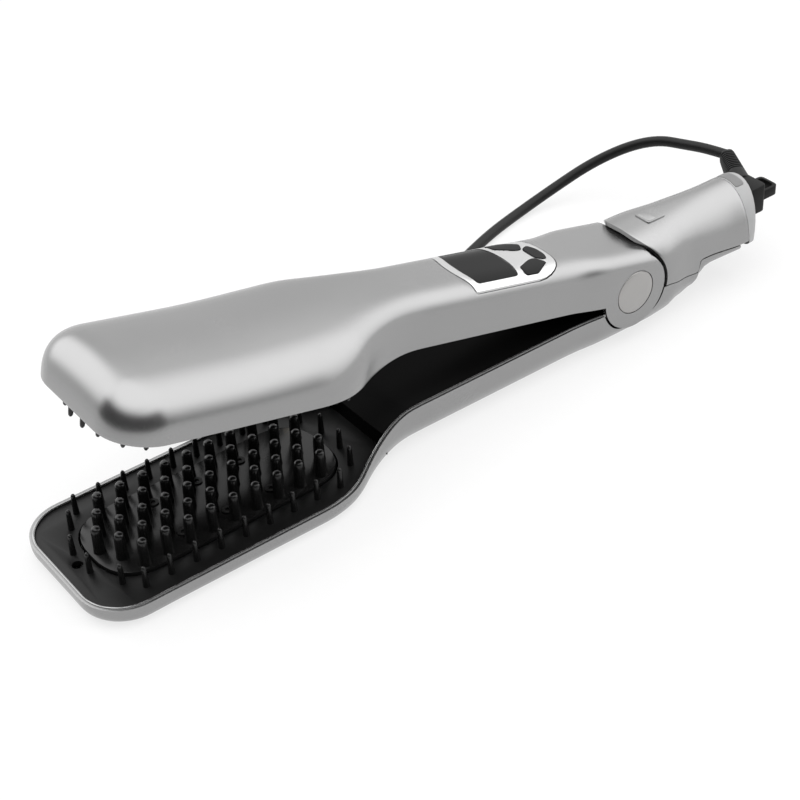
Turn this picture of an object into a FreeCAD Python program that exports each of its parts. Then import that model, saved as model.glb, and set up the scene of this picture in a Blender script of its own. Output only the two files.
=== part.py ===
"""Steam hair straightening brush: two hinged arms with heated, bristled paddles, a panel and a water tank.

Frame of the finished part: +Z up, X along the arms with the hinge towards +X, origin in the middle of the
flat rest face under the lower paddle.  Every piece is drawn with x counted from the front of the cover under
the paddle's rim and with the arms closed; the placements at the end move the origin to the rest face and
swing the upper arm open.
"""
import FreeCAD
import Part
import Sketcher
import math
import os
import re
from FreeCAD import Placement, Rotation, Vector

doc = FreeCAD.newDocument("steam_brush")
sheet = doc.addObject("Spreadsheet::Sheet", "dims")

# Driving dimensions in millimetres and degrees.
DIMENSIONS = {
    # plan of the paddles and the handle
    "rest_x": 54.0, "paddle_half": 36.1, "tip_radius": 19.2, "neck_front": 107.0, "neck_rear": 136.4,
    "neck_outer_run": 13.0, "neck_inner_run": 18.5, "handle_half": 18.5, "upper_tip": 9.0,
    "lower_tip": -3.5, "wall": 2.0, "seat_gap": 0.3, "slip": 0.05,
    # heights with the arms closed
    "paddle_rim": 9.1, "handle_rim": 20.1, "rim_gap": 0.4, "upper_paddle_rim": 16.8, "casing_top": 42.2,
    "ramp_front": 108.0, "ramp_rear": 150.0, "bottom_round": 6.0, "top_round": 9.0,
    # hinge
    "pivot_x": 269.2, "pivot_z": 25.2, "ear_radius": 17.0, "ear_inner": 16.7, "ear_outer": 20.0,
    "ear_gap": 0.5, "pin_radius": 3.0, "barrel_radius": 6.5, "open_angle": 13.6, "cap_radius": 9.85,
    "cap_proud": 0.4, "cap_seat": 1.0, "spring_wire": 1.4, "spring_length": 9.0, "spring_side": 3.0,
    "arm_rear_radius": "=ear_radius + 1.4",
    "collar_radius": "=ear_radius + 2", "cheek_inner": 14.4, "cheek_front": 248.0, "hinge_leg": 10.0,
    # tail
    "heel_x": 313.0, "tail_floor": 16.0, "tail_end": 341.0, "tail_half": 17.4, "collar_half": 19.4,
    "tail_top": 44.0, "end_cap_top": 9.0, "end_cap_foot": 2.5, "tail_round": 10.0, "tail_blend": 30.0,
    "latch_x": 291.0, "latch_length": 5.0, "latch_half": 4.0, "latch_travel": 2.5, "latch_proud": 1.6,
    # heating plates, pegs and bristles
    "plate_front": 10.8, "plate_rear": 118.0, "plate_half": 21.6, "plate_corner": 13.5,
    "plate_base": "=wall + 4", "plate_top": 9.7, "upper_plate_front": 17.4,
    "cover_base": 6.5, "cover_top": 8.5, "cover_rear": 134.7,
    "peg_pitch": 10.03, "row_pitch": 8.43, "peg_first": 15.2, "peg_radius": 2.5, "peg_tip_radius": 2.0,
    "peg_height": 12.0, "bristle_radius": 1.35, "bristle_tip_radius": 1.0, "bristle_height": 9.5,
    "bristle_line": 26.7, "bristle_first": 19.6, "bristle_pitch": 11.0, "upper_plate_face": 23.4,
    "upper_cover_face": 24.0, "upper_peg_height": 10.8, "lattice_shift": 2.73,
    "vent_first": 45.2, "vent_pitch": 20.0, "vent_line": 11.2, "vent_radius": 2.2, "vent_bore": 1.0,
    "vent_height": 0.5, "element_length": 64.0, "element_half": 14.0, "element_thick": 1.4,
    "screw_x": 6.4, "screw_head": 2.1, "screw_shank": 1.1, "screw_sink": 0.5, "screw_head_depth": 1.1,
    "vent_count": 3,
    "duct_half": 12.0, "duct_wall": 2.0, "duct_skin": 0.6, "duct_front": 30.8, "duct_rear": 104.0,
    # control panel
    "panel_front": 177.5, "panel_rear": 233.0, "panel_half": 16.0, "panel_corner": 11.0, "panel_seat": 33.5,
    "window_front": 182.0, "window_rear": 206.5, "window_half": 12.8, "window_thick": 1.2,
    "button_travel": 0.6, "button_gap": 0.3, "button_proud": 0.4, "button_foot": 36.0, "board_thick": 1.6,
    "board_half": 12.0, "key_board_z": 28.5, "driver_board_z": 8.0, "driver_board_front": 160.0,
    "driver_board_rear": 246.0, "driver_post_line": 9.0, "key_board_front": 181.0, "key_board_rear": 233.0,
    "key_post_line": 8.0, "post_inset": 8.0, "key_post_inset": 5.0, "liner_top": 19.3, "liner_rear": 247.0,
    "switch_half": 3.0, "post_radius": 2.0,
    # water and steam
    "tank_front": 309.0, "tank_skin": 1.2, "suction_z": 24.0, "suction_low": 288.0, "suction_high": 298.0,
    "pump_line": 6.5, "pump_radius": 4.5, "pump_length": 18.0, "pipe_lift": 0.8,
    "boiler_front": 185.0, "boiler_length": 34.0, "boiler_half": 9.0,
    "boiler_top": 7.4, "tube_radius": 1.5,
    # cord
    "cord_radius": 2.5, "gland_z": 30.0, "swivel_radius": 6.5, "gland_front": 350.0, "gland_rear": 362.0,
    "gland_half": 7.0, "relief_root": 5.4, "relief_tip": 3.5, "relief_reach": 19.0, "relief_rise": 4.0,
    "relief_lean": 10.5,
    "loop_reach": 9.0, "loop_half": 5.5, "loop_thick": 1.6, "loop_width": 5.0,
    "coil_x": 116.0, "coil_y": "=paddle_half + 33.4", "coil_mean": 27.5, "coil_band": 7.5,
    "coil_height": 15.0,
    "tie_thick": 0.8, "tie_width": 8.0, "plug_length": 35.0, "plug_half": 17.65, "plug_thick": 13.7,
    "plug_pin_radius": 2.0, "plug_pin_length": 19.0, "plug_pin_half": 9.3,
}
for row, (alias, size) in enumerate(DIMENSIONS.items(), start=1):
    sheet.set(f"A{row}", alias)
    sheet.set(f"B{row}", str(size))
    sheet.setAlias(f"B{row}", alias)
doc.recompute()

SIDES = (-1, 1)
FAR = 60.0  # a tool that cuts right across the part reaches this far to each side
WORD = re.compile(r"[a-z][a-z0-9_]*")


def cell(expression):
    """An expression of aliases, written as references to the sheet."""
    return WORD.sub(lambda word: "dims." + word[0] if word[0] in DIMENSIONS else word[0], str(expression))


def value(expression):
    """The number that an expression of aliases stands for."""
    result = sheet.evalExpression(cell(expression))
    return float(getattr(result, "Value", result))


def bind(feature, **expressions):
    """Ties properties to the sheet; a double underscore stands for the dot of a property's path."""
    for name, expression in expressions.items():
        feature.setExpression(name.replace("__", "."), cell(expression))
    return feature


def prism(name, role, corners, low, high):
    """A body padded between two heights from a straight-sided outline on one of its own origin planes."""
    body = doc.addObject("PartDesign::Body", name)
    sketch = body.newObject("Sketcher::SketchObject", name + "_outline")
    plane = next(item for item in body.Origin.OriginFeatures if item.Role == role)
    sketch.AttachmentSupport = [(plane, "")]
    sketch.MapMode = "FlatFace"
    bind(sketch, AttachmentOffset__Base__z=low)
    points = [Vector(value(across), value(up), 0) for across, up in corners]
    sketch.addGeometry([Part.LineSegment(*pair) for pair in zip(points, points[1:] + points[:1])])
    for side in range(len(points)):
        sketch.addConstraint(Sketcher.Constraint("Coincident", side, 2, (side + 1) % len(points), 1))
    for side, corner in enumerate(corners):
        for kind, expression, start in zip(("DistanceX", "DistanceY"), corner, points[side]):
            index = sketch.addConstraint(Sketcher.Constraint(kind, -1, 1, side, 1, start))
            sketch.setExpression(f"Constraints[{index}]", cell(expression))
    pad = body.newObject("PartDesign::Pad", name + "_pad")
    pad.Profile = sketch
    bind(pad, Length=f"({high}) - ({low})")
    doc.recompute()
    return body


def fillet(body, radius, chosen):
    """Rounds the edges of the body that `chosen` picks."""
    base = body.Tip
    names = [f"Edge{n}" for n, edge in enumerate(base.Shape.Edges, start=1) if chosen(edge)]
    rounding = body.newObject("PartDesign::Fillet", base.Name + "_round")
    rounding.Base = (base, names)
    bind(rounding, Radius=radius)
    doc.recompute()
    return body


def upright(*corners):
    """Picks the vertical edges above the given corners, on both sides of the middle plane."""
    spots = [(value(along), abs(value(across))) for along, across in corners]

    def chosen(edge):
        ends = [corner.Point for corner in edge.Vertexes]
        if len(ends) != 2 or math.hypot(ends[0].x - ends[1].x, ends[0].y - ends[1].y) > 1e-4:
            return False
        return any(math.hypot(ends[0].x - x, abs(ends[0].y) - y) < 0.01 for x, y in spots)
    return chosen


def level(height, x_end=1e6):
    """Picks the edges that lie at one height, in front of x_end."""
    height = value(height)

    def chosen(edge):
        box = edge.BoundBox
        return abs(box.ZMin - height) < 1e-4 and abs(box.ZMax - height) < 1e-4 and box.XMin < x_end - 0.01
    return chosen


def mirrored(side):
    """A closed outline from the points of its +Y side, listed from front to rear."""
    return [(along, f"-({across})") for along, across in side] + list(reversed(side))


def box(name, x_range, y_range, z_range):
    """A Part::Box between expressions."""
    block = doc.addObject("Part::Box", name)
    for axis, size, (low, high) in zip("xyz", ("Length", "Width", "Height"), (x_range, y_range, z_range)):
        block.setExpression(size, cell(f"({high}) - ({low})"))
        block.setExpression(f"Placement.Base.{axis}", cell(low))
    return block


AXES = {"x": Rotation(Vector(0, 1, 0), 90), "y": Rotation(Vector(1, 0, 0), -90), "z": Rotation()}


def rod(name, axis, radius, start, length):
    """A Part::Cylinder that grows along +X, +Y or +Z from its start point."""
    cylinder = doc.addObject("Part::Cylinder", name)
    cylinder.Placement.Rotation = AXES[axis]
    x, y, z = start
    return bind(cylinder, Radius=radius, Height=length,
                Placement__Base__x=x, Placement__Base__y=y, Placement__Base__z=z)


def cut(name, base, *tools):
    """Base with every tool taken away."""
    tool = tools[0] if len(tools) == 1 else fuse(name + "_tools", *tools)
    result = doc.addObject("Part::Cut", name)
    result.Base = base
    result.Tool = tool
    return result


def fuse(name, *pieces):
    result = doc.addObject("Part::MultiFuse", name)
    result.Shapes = list(pieces)
    return result


def common(name, *pieces):
    result = doc.addObject("Part::MultiCommon", name)
    result.Shapes = list(pieces)
    return result


def placed(shape, *offset):
    """A copy of a shape moved by an offset."""
    copy = shape.copy()
    copy.translate(Vector(*offset))
    return copy


def feature(name, shape):
    result = doc.addObject("Part::Feature", name)
    result.Shape = shape
    return result


NODES = {}


def node(name, piece, arm=False):
    """Names a finished sub-part; arm marks the ones that swing with the upper arm."""
    NODES[name] = (piece, arm)
    return piece


# ------------------------------------------------------------------ casings
LEAN = "tan(atan((paddle_half - handle_half) / (neck_rear - neck_front)) / 2)"


def plan(name, inset, front, rear, low, high, hinge_half=None):
    """The brush seen from above, drawn in by an inset: paddle, neck and handle, between two heights."""
    wide = f"paddle_half - {inset}"
    narrow = f"handle_half - {inset}"
    neck = [(f"{x} - {LEAN} * {inset}", y) for x, y in (("neck_front", wide), ("neck_rear", narrow))]
    nose = (f"{front} + {inset}", wide)
    side = [nose, *neck, (rear, narrow)]
    if hinge_half:
        side[-1:] = [("cheek_front", narrow), ("cheek_front", hinge_half), (rear, hinge_half)]
    if value(rear) < value("neck_rear") + value("neck_inner_run"):
        edge = f"paddle_half - {inset} - (({rear}) - ({neck[0][0]})) / (neck_rear - neck_front)" \
               " * (paddle_half - handle_half)"
        side = [nose, neck[0], (rear, edge)]
    body = prism(name, "XY_Plane", mirrored(side), low, high)
    fillet(body, f"tip_radius - {inset}", upright(nose))
    fillet(body, f"neck_outer_run / {LEAN} - {inset}", upright(neck[0]))
    if len(side) > 3:
        fillet(body, f"neck_inner_run / {LEAN} + {inset}", upright(neck[1]))
    return body


def across(name, corners):
    """A profile seen from the side, padded right across the part."""
    return prism(name, "XZ_Plane", corners, -FAR, FAR)


# Run and rise of the rounded heel, counted from the heel and from the rest face.
HEEL = (("28", "0"), ("13", "2.6"), ("4", "7"), ("-3", "tail_floor"))


def lower_profile(name, low, top, rear):
    """Side view of the lower casing: flat paddle, ramp up to the handle's rim, heel and tail."""
    return across(name, [
        ("lower_tip - 5", low), *[(f"heel_x - ({run})", f"{low} + {rise}") for run, rise in HEEL],
        (rear, f"{low} + tail_floor"),
        (rear, f"handle_rim + {top}"), ("ramp_rear", f"handle_rim + {top}"),
        ("ramp_front", f"paddle_rim + {top}"), ("lower_tip - 5", f"paddle_rim + {top}")])


def ear_pockets(name, radius, inner):
    """Two discs about the hinge axis that reach from a width outwards."""
    return [rod(f"{name}_{side:+d}".replace("+", "p").replace("-", "m"), "y", radius,
                ("pivot_x", inner if side > 0 else f"-{FAR}", "pivot_z"), f"{FAR} - ({inner})")
            for side in SIDES]


lower_plan = plan("lower_plan", "0", "lower_tip", "tail_end", "0", "handle_rim")
fillet(lower_plan, "bottom_round", level("0", value("tail_end")))
lower_block = common("lower_block", lower_plan, lower_profile("lower_side", "0", "0", "tail_end"))
lower_hollow = common(
    "lower_hollow",
    plan("lower_hollow_plan", "wall", "lower_tip", "tail_end + 1", "wall", "handle_rim + 5", "cheek_inner"),
    lower_profile("lower_hollow_side", "wall", "5", "tail_end + 1"))
lower_shell = cut(
    "lower_shell", lower_block, lower_hollow,
    *ear_pockets("ear_pocket", "ear_radius + ear_gap", "ear_inner - seat_gap"),
    *[box(f"tail_flank_{tag}", ("pivot_x + collar_radius - 0.5", "tail_end + 1"), span,
          ("-1", "handle_rim + 1"))
      for tag, span in (("far", ("tail_half", str(FAR))), ("near", (f"-{FAR}", "-tail_half")))])
board_post_places = [(x, y) for x in ("driver_board_front + post_inset", "driver_board_rear - post_inset")
                     for y in ("-driver_post_line", "driver_post_line")]
board_posts = [rod(f"board_post_{n}", "z", "post_radius", (x, y, "wall - 0.5"),
                   "driver_board_z - wall + 0.5") for n, (x, y) in enumerate(board_post_places)]
screw_boss = rod("screw_boss", "z", "screw_head", ("screw_x", "0", "wall - 0.5"), "cover_base - wall + 0.5")
screw_hole = rod("screw_hole", "z", "screw_shank", ("screw_x", "0", "wall"), "cover_base")
node("lower_casing", cut("lower_casing", fuse("lower_fused", lower_shell, screw_boss, *board_posts),
                         screw_hole))

UPPER_LOW = "upper_paddle_rim"
HANDLE_LOW = "handle_rim + rim_gap"


def upper_profile(name, drop):
    """Side view of the upper casing; its rear end stops short of the tail when the arm is open."""
    return across(name, [
        ("-5", f"{UPPER_LOW} - {drop}"), ("ramp_front", f"{UPPER_LOW} - {drop}"),
        ("ramp_rear", f"{HANDLE_LOW} - {drop}"), ("pivot_x - 1", f"{HANDLE_LOW} - {drop}"),
        ("pivot_x + 16", f"pivot_z + 1.6 - {drop}"), ("pivot_x + 25", f"pivot_z + 1.6 - {drop}"),
        ("pivot_x + 25", "casing_top + 5"), ("-5", "casing_top + 5")])


def rear_trim(name, radius):
    """What lies behind the hinge and outside a radius about it."""
    block = box(name + "_block", ("pivot_x", f"pivot_x + {FAR}"), (f"-{FAR}", str(FAR)),
                ("0", "casing_top + 9"))
    return cut(name, block, rod(name + "_rod", "y", radius, ("pivot_x", f"-{FAR}", "pivot_z"), f"2 * {FAR}"))


upper_plan = plan("upper_plan", "0", "upper_tip", "pivot_x + 25", "5", "casing_top")
fillet(upper_plan, "top_round", level("casing_top", value("pivot_x + 25")))
upper_solid = cut("upper_solid", common("upper_block", upper_plan, upper_profile("upper_side", "0")),
                  rear_trim("upper_trim", "arm_rear_radius"))
upper_hollow_plan = plan("upper_hollow_plan", "wall", "upper_tip", "pivot_x + 25", "4", "casing_top - wall",
                         "ear_inner")
fillet(upper_hollow_plan, "top_round - wall", level("casing_top - wall", value("cheek_front")))
upper_hollow = cut("upper_hollow", upper_hollow_plan, rear_trim("hollow_trim", "arm_rear_radius - wall"))
upper_shell = cut("upper_shell", upper_solid, upper_hollow)
ears = [rod(f"ear_{tag}", "y", "ear_radius", ("pivot_x", start, "pivot_z"), "ear_outer - ear_inner")
        for tag, start in (("far", "ear_inner"), ("near", "-ear_outer"))]
pin_bore = rod("pin_bore", "y", "pin_radius + slip", ("pivot_x", f"-{FAR}", "pivot_z"), f"2 * {FAR}")
cap_seats = [rod(f"cap_seat_{tag}", "y", "cap_radius + slip", ("pivot_x", start, "pivot_z"), "cap_seat + 5")
             for tag, start in (("far", "ear_outer - cap_seat"), ("near", "-ear_outer - 5"))]


def panel_outline(name, grow, low, high):
    """The control panel seen from above: blunt at the front, rounded at the rear."""
    half = f"panel_half + {grow}"
    front = f"panel_front - {grow}"
    rear = f"panel_rear + {grow}"
    body = prism(name, "XY_Plane", [
        (f"{front} + 2.5", f"-({half})"), (rear, f"-({half})"), (rear, half), (f"{front} + 2.5", half),
        (front, "0")], low, high)
    return fillet(body, f"panel_corner + {grow}", upright((rear, half)))


upper_casing = cut("upper_casing", fuse("upper_fused", upper_shell, *ears), pin_bore, *cap_seats,
                   panel_outline("panel_opening", "seat_gap", "panel_seat", "casing_top + 5"))
node("upper_casing", upper_casing, arm=True)

# ------------------------------------------------------------------ control panel
SIDE_BUTTON = [("210.6", "8.2"), ("210.6", "13.6"), ("215.5", "13.6"), ("224.2", "8.8"), ("222.3", "4.9"),
               ("219.5", "4.9")]
REAR_BUTTON = [("224.3", "-4.9"), ("227.4", "-4.9"), ("229.9", "-2.4"), ("229.9", "2.4"), ("227.4", "4.9"),
               ("224.3", "4.9")]
BUTTONS = {
    "far_button": SIDE_BUTTON,
    "near_button": [(x, f"-{y}") for x, y in SIDE_BUTTON],
    "rear_button": REAR_BUTTON,
}


def window_outline(name, grow, low, high):
    half = f"window_half + {grow}"
    return prism(name, "XY_Plane", [
        (f"window_front - {grow} + 1.4", f"-({half})"), (f"window_rear + {grow} - 3", f"-({half})"),
        (f"window_rear + {grow}", "-5"), (f"window_rear + {grow}", "5"),
        (f"window_rear + {grow} - 3", half), (f"window_front - {grow} + 1.4", half),
        (f"window_front - {grow}", "0")], low, high)


bezel_wall = common("bezel_wall", panel_outline("bezel_plan", "0", "panel_seat + 0.2", "casing_top + 5"),
                    upper_solid)
doc.recompute()
button_crown = feature("button_crown", placed(upper_solid.Shape, 0, 0, value("button_proud")))
BUTTON_ROUND = 1.2


def button_outline(name, corners, low, high):
    body = prism(name, "XY_Plane", corners, low, high)
    return fillet(body, BUTTON_ROUND, upright(*corners))


button_holes = []
for name, corners in BUTTONS.items():
    crown = common(name, button_outline(name + "_plan", corners, "button_foot", "casing_top + 5"),
                   button_crown)
    node(name, crown, arm=True)
    hole = doc.addObject("Part::Offset", name + "_hole")
    hole.Source = doc.getObject(name + "_plan")
    hole.Join = 0
    bind(hole, Value="button_gap")
    button_holes.append(hole)
doc.recompute()
node("panel_bezel", cut("panel_bezel", bezel_wall, upper_hollow,
                        window_outline("window_hole", "slip", "panel_seat", "casing_top + 5"),
                        *button_holes),
     arm=True)
window_floor = feature("window_floor", placed(upper_solid.Shape, 0, 0, -value("window_thick")))
node("display_window", cut("display_window",
                           common("window_block", upper_solid,
                                  window_outline("window_plan", "0", "panel_seat", "casing_top + 5")),
                           window_floor), arm=True)


def group(name, *pieces):
    """Separate solids that share one node."""
    result = doc.addObject("Part::Compound", name)
    result.Links = list(pieces)
    return result


# ------------------------------------------------------------------ paddles
INNER = "(wall + seat_gap)"
PEG_EDGE = 0.3  # bare plate left outside a peg


def plate_outline(name, front, grow, low, high):
    ends, half = (f"{front} - {grow}", f"plate_rear + {grow}"), f"(plate_half + {grow})"
    corners = [(ends[0], f"-{half}"), (ends[1], f"-{half}"), (ends[1], half), (ends[0], half)]
    return fillet(prism(name, "XY_Plane", corners, low, high), f"plate_corner + {grow}", upright(*corners))


def stud(name, base_radius, tip_radius, height):
    """A tapered pin with a rounded tip, standing on the origin."""
    base_radius, tip_radius, height = value(base_radius), value(tip_radius), value(height)
    cone = Part.makeCone(base_radius, tip_radius, height)
    tip = [edge for edge in cone.Edges if edge.BoundBox.ZMin > height - 1e-6]
    return cone.makeFillet(0.7 * tip_radius, tip)


def field(name, pin, places, height, downwards=False):
    """One node with a copy of the pin at each place."""
    pin = pin.copy()
    if downwards:
        pin.rotate(Vector(), Vector(1, 0, 0), 180)
    pins = [placed(pin, x, y, height) for x, y in places]
    return group(name, feature(name + "_pins", Part.makeCompound(pins)))


def on_plate(x, y, front):
    """Whether a peg at this place keeps clear of the rounded outline of the plate."""
    margin = value("peg_radius") + PEG_EDGE
    corner = value("plate_corner")
    middle = (front + value("plate_rear")) / 2
    dx = abs(x - middle) - (value("plate_rear") - front) / 2 + corner
    dy = abs(y) - value("plate_half") + corner
    return math.hypot(max(dx, 0), max(dy, 0)) <= corner - margin and max(dx, dy) <= corner - margin


def lattice(front, shift_x, shift_y):
    """Places of a staggered lattice of pegs, clipped by the plate that starts at `front`."""
    pitch = value("peg_pitch")
    return [(x, y)
            for row in range(-3, 4)
            for column in range(-2, 14)
            for x in [value("peg_first") + shift_x + pitch * (column + (row % 2) / 2)]
            for y in [shift_y + row * value("row_pitch")]
            if on_plate(x, y, front)]


def edge_row(first):
    """Places of the thin bristles along both long sides."""
    count = int((value("plate_rear") - first) / value("bristle_pitch")) + 1
    return [(first + value("bristle_pitch") * n, side * value("bristle_line"))
            for n in range(count) for side in SIDES]


vents = [(f"vent_first + {n} * vent_pitch", f"{side} * vent_line")
         for n in range(int(value("vent_count"))) for side in SIDES]
vent_bores = [rod(f"vent_bore_{n}", "z", "vent_bore", (x, y, "plate_base - 1"), "plate_top")
              for n, (x, y) in enumerate(vents)]
node("lower_heater_plate", cut("lower_heater_plate",
                               plate_outline("plate_blank", "plate_front", "0", "plate_base", "plate_top"),
                               *vent_bores))
node("steam_vents", group("steam_vents", *[
    cut(f"vent_{n}", rod(f"vent_ring_{n}", "z", "vent_radius", (x, y, "plate_top"), "vent_height"),
        rod(f"vent_eye_{n}", "z", "vent_bore", (x, y, "plate_top"), "vent_height"))
    for n, (x, y) in enumerate(vents)]))
node("lower_inner_cover", cut(
    "lower_inner_cover",
    plan("lower_cover_plan", INNER, "lower_tip", "cover_rear", "cover_base", "cover_top"),
    plate_outline("lower_cover_hole", "plate_front", "slip", "0", "casing_top"),
    rod("screw_sink_bore", "z", "screw_head + slip", ("screw_x", "0", "cover_top - screw_head_depth"), "5"),
    rod("screw_cover_bore", "z", "screw_shank + slip", ("screw_x", "0", "wall"), "cover_top")))
node("tip_screw", fuse(
    "tip_screw", rod("screw_head_rod", "z", "screw_head", ("screw_x", "0", "cover_top - screw_head_depth"),
                     "screw_head_depth - screw_sink"),
    rod("screw_shank_rod", "z", "screw_shank", ("screw_x", "0", "wall + 0.2"),
                     "cover_top - screw_head_depth - 0.2 - wall")))
node("upper_inner_cover", cut(
    "upper_inner_cover", plan("upper_cover_plan", INNER, "upper_tip", "cover_rear", "upper_cover_face",
                              "upper_cover_face + cover_top - cover_base"),
    plate_outline("upper_cover_hole", "upper_plate_front", "slip", "0", "casing_top")), arm=True)
node("upper_heater_plate", plate_outline("upper_heater_plate", "upper_plate_front", "0", "upper_plate_face",
                                         "upper_cover_face + cover_top - cover_base"), arm=True)

peg = stud("peg", "peg_radius", "peg_tip_radius", "peg_height")
short_peg = stud("short_peg", "peg_radius", "peg_tip_radius", "upper_peg_height")
bristle = stud("bristle", "bristle_radius", "bristle_tip_radius", "bristle_height")
plate_front = value("plate_front")
plate_rear = value("plate_rear")
upper_front = value("upper_plate_front")
# Bristles that close the ring of each paddle, as x beside the plate's ends and y off the middle.
LOWER_ENDS = ((plate_front - 3.6, 6.5), (plate_front + 2.8, 19.6), (plate_rear + 3.6, 6.5),
              (plate_rear + 0.6, 18.0))
UPPER_ENDS = ((upper_front - 2.9, 5.5), (upper_front - 0.4, 18.5), (plate_rear + 3.0, 13.0))
REAR_MIDDLE = 3.8
node("lower_heat_pegs", field("lower_heat_pegs", peg, lattice(plate_front, 0, 0), value("plate_top")))
node("upper_heat_pegs", field("upper_heat_pegs", short_peg,
                              lattice(upper_front, value("peg_pitch") / 2, value("lattice_shift")),
                              value("upper_plate_face"), downwards=True), arm=True)
lower_ends = [(x, side * y) for side in SIDES for x, y in LOWER_ENDS]
upper_ends = [(x, side * y) for side in SIDES for x, y in UPPER_ENDS]
upper_ends.append((plate_rear + REAR_MIDDLE, 0))
node("lower_edge_bristles", field("lower_edge_bristles", bristle,
                                  edge_row(value("bristle_first")) + lower_ends, value("cover_top")))
node("upper_edge_bristles", field(
    "upper_edge_bristles", bristle,
    edge_row(value("bristle_first + bristle_pitch / 2")) + upper_ends,
    value("upper_cover_face"), downwards=True), arm=True)

ELEMENT = ("(plate_front + plate_rear - element_length) / 2",
           "(plate_front + plate_rear + element_length) / 2")
ELEMENT_SIDE = ("-element_half", "element_half")
node("lower_heater_element", group("lower_heater_element", box(
    "lower_element", ELEMENT, ELEMENT_SIDE, ("plate_base - element_thick", "plate_base"))))
UPPER_BACK = "upper_cover_face + cover_top - cover_base"
node("upper_heater_element", group("upper_heater_element", box(
    "upper_element", ELEMENT, ELEMENT_SIDE, (UPPER_BACK, f"{UPPER_BACK} + element_thick"))), arm=True)
node("steam_duct", cut(
    "steam_duct",
    box("duct_block", ("duct_front", "duct_rear"), ("-duct_half", "duct_half"),
        ("wall", "plate_base - element_thick")),
    box("duct_bore", ("duct_front + duct_wall", "duct_rear + 1"),
        ("duct_wall - duct_half", "duct_half - duct_wall"),
        ("wall + duct_skin", "plate_base - element_thick - duct_skin"))))

# ------------------------------------------------------------------ inside the handle
BOILER = ("boiler_front", "boiler_front + boiler_length")
PIPE_Z = "wall + tube_radius + pipe_lift"
node("steam_generator", group("steam_generator", box("boiler", BOILER, ("-boiler_half", "boiler_half"),
                                                     ("wall", "boiler_top"))))
node("steam_tube", group("steam_tube", rod("steam_pipe", "x", "tube_radius", ("duct_rear", "0", PIPE_Z),
                                           "boiler_front - duct_rear")))
LINER = ("cover_rear + seat_gap", "liner_rear")
LINER_SKIN = 1.8
LINER_DROP = "0.8"  # the liner's ramp lies this far under the casing's
liner_block = common("liner_block",
                     plan("liner_plan", INNER, "lower_tip", "liner_rear", "wall", "liner_top"),
                     box("liner_span", LINER, (f"-{FAR}", str(FAR)), ("0", "liner_top + 1")),
                     lower_profile("liner_side", "0", f"-{LINER_DROP}", "tail_end"))
node("handle_liner", cut(
    "handle_liner", liner_block,
    common("liner_room",
           box("liner_room_span", (f"{LINER[0]} + wall", "liner_rear + 1"), (f"-{FAR}", str(FAR)),
               ("0", f"liner_top - {LINER_SKIN}")),
           lower_profile("liner_room_side", "0", f"-{LINER_DROP} - {LINER_SKIN}", "tail_end")),
    rod("liner_pipe_hole", "x", "tube_radius + seat_gap", ("cover_rear - 5", "0", PIPE_Z), "15")))
node("driver_board", group("driver_board", box("driver_pcb", ("driver_board_front", "driver_board_rear"),
                                               ("-board_half", "board_half"),
                                               ("driver_board_z", "driver_board_z + board_thick"))))
UPPER_LINER_TOP = "handle_rim + rim_gap + 3.8"
key_posts = [rod(f"key_post_{n}", "z", "post_radius", (x, y, f"{UPPER_LINER_TOP} - 0.5"),
                 f"key_board_z - ({UPPER_LINER_TOP}) + 0.5")
             for n, (x, y) in enumerate((x, y) for x in ("key_board_front + key_post_inset",
                                                         "key_board_rear - key_post_inset")
                                        for y in ("-key_post_line", "key_post_line"))]
node("upper_handle_liner", fuse(
    "upper_handle_liner",
    box("upper_liner_plate", LINER, (f"-(handle_half - {INNER})", f"handle_half - {INNER}"),
        (f"{UPPER_LINER_TOP} - wall", UPPER_LINER_TOP)), *key_posts), arm=True)
KEY_TOP = "key_board_z + board_thick"
node("key_board", group("key_board", box("key_pcb", ("key_board_front", "key_board_rear"),
                                         ("-board_half", "board_half"),
                                         ("key_board_z", KEY_TOP))), arm=True)
node("display_module", group("display_module", box(
    "display_block", ("window_front + 2", "window_rear - 2"), ("-(window_half - 2)", "window_half - 2"),
    (KEY_TOP, "casing_top - 2.2"))), arm=True)
SWITCH_SPOTS = {"far": ("216.5", "8.9"), "near": ("216.5", "-8.9"), "rear": ("227", "0")}
node("tact_switches", group("tact_switches", *[
    fuse(f"switch_{tag}",
         box(f"switch_case_{tag}", (f"{x} - switch_half", f"{x} + switch_half"),
             (f"{y} - switch_half", f"{y} + switch_half"), (KEY_TOP, f"{KEY_TOP} + 3.4")),
         rod(f"switch_stem_{tag}", "z", "1.7", (x, y, f"{KEY_TOP} + 3"),
             f"button_foot - button_travel - slip - ({KEY_TOP}) - 3"))
    for tag, (x, y) in SWITCH_SPOTS.items()]), arm=True)

# ------------------------------------------------------------------ hinge
BARREL = "cheek_inner - seat_gap"
node("hinge_block", cut(
    "hinge_block",
    fuse("hinge_body",
         rod("barrel", "y", "barrel_radius", ("pivot_x", f"-({BARREL})", "pivot_z"), f"2 * ({BARREL})"),
         box("hinge_leg_block", ("pivot_x - hinge_leg / 2", "pivot_x + hinge_leg / 2"),
             (f"-({BARREL})", "1"), ("wall", "pivot_z"))),
    rod("barrel_bore", "y", "pin_radius + slip", ("pivot_x", f"-{FAR}", "pivot_z"), f"2 * {FAR}")))
PIN_END = "ear_outer - cap_seat - 0.1"
node("hinge_pin", group("hinge_pin", rod("pin", "y", "pin_radius", ("pivot_x", f"-({PIN_END})", "pivot_z"),
                                         f"2 * ({PIN_END})")))
node("hinge_caps", group("hinge_caps", *[
    rod(f"cap_{tag}", "y", "cap_radius", ("pivot_x", start, "pivot_z"), "cap_seat + cap_proud")
    for tag, start in (("far", "ear_outer - cap_seat"), ("near", "-ear_outer - cap_proud"))]), arm=True)
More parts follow.
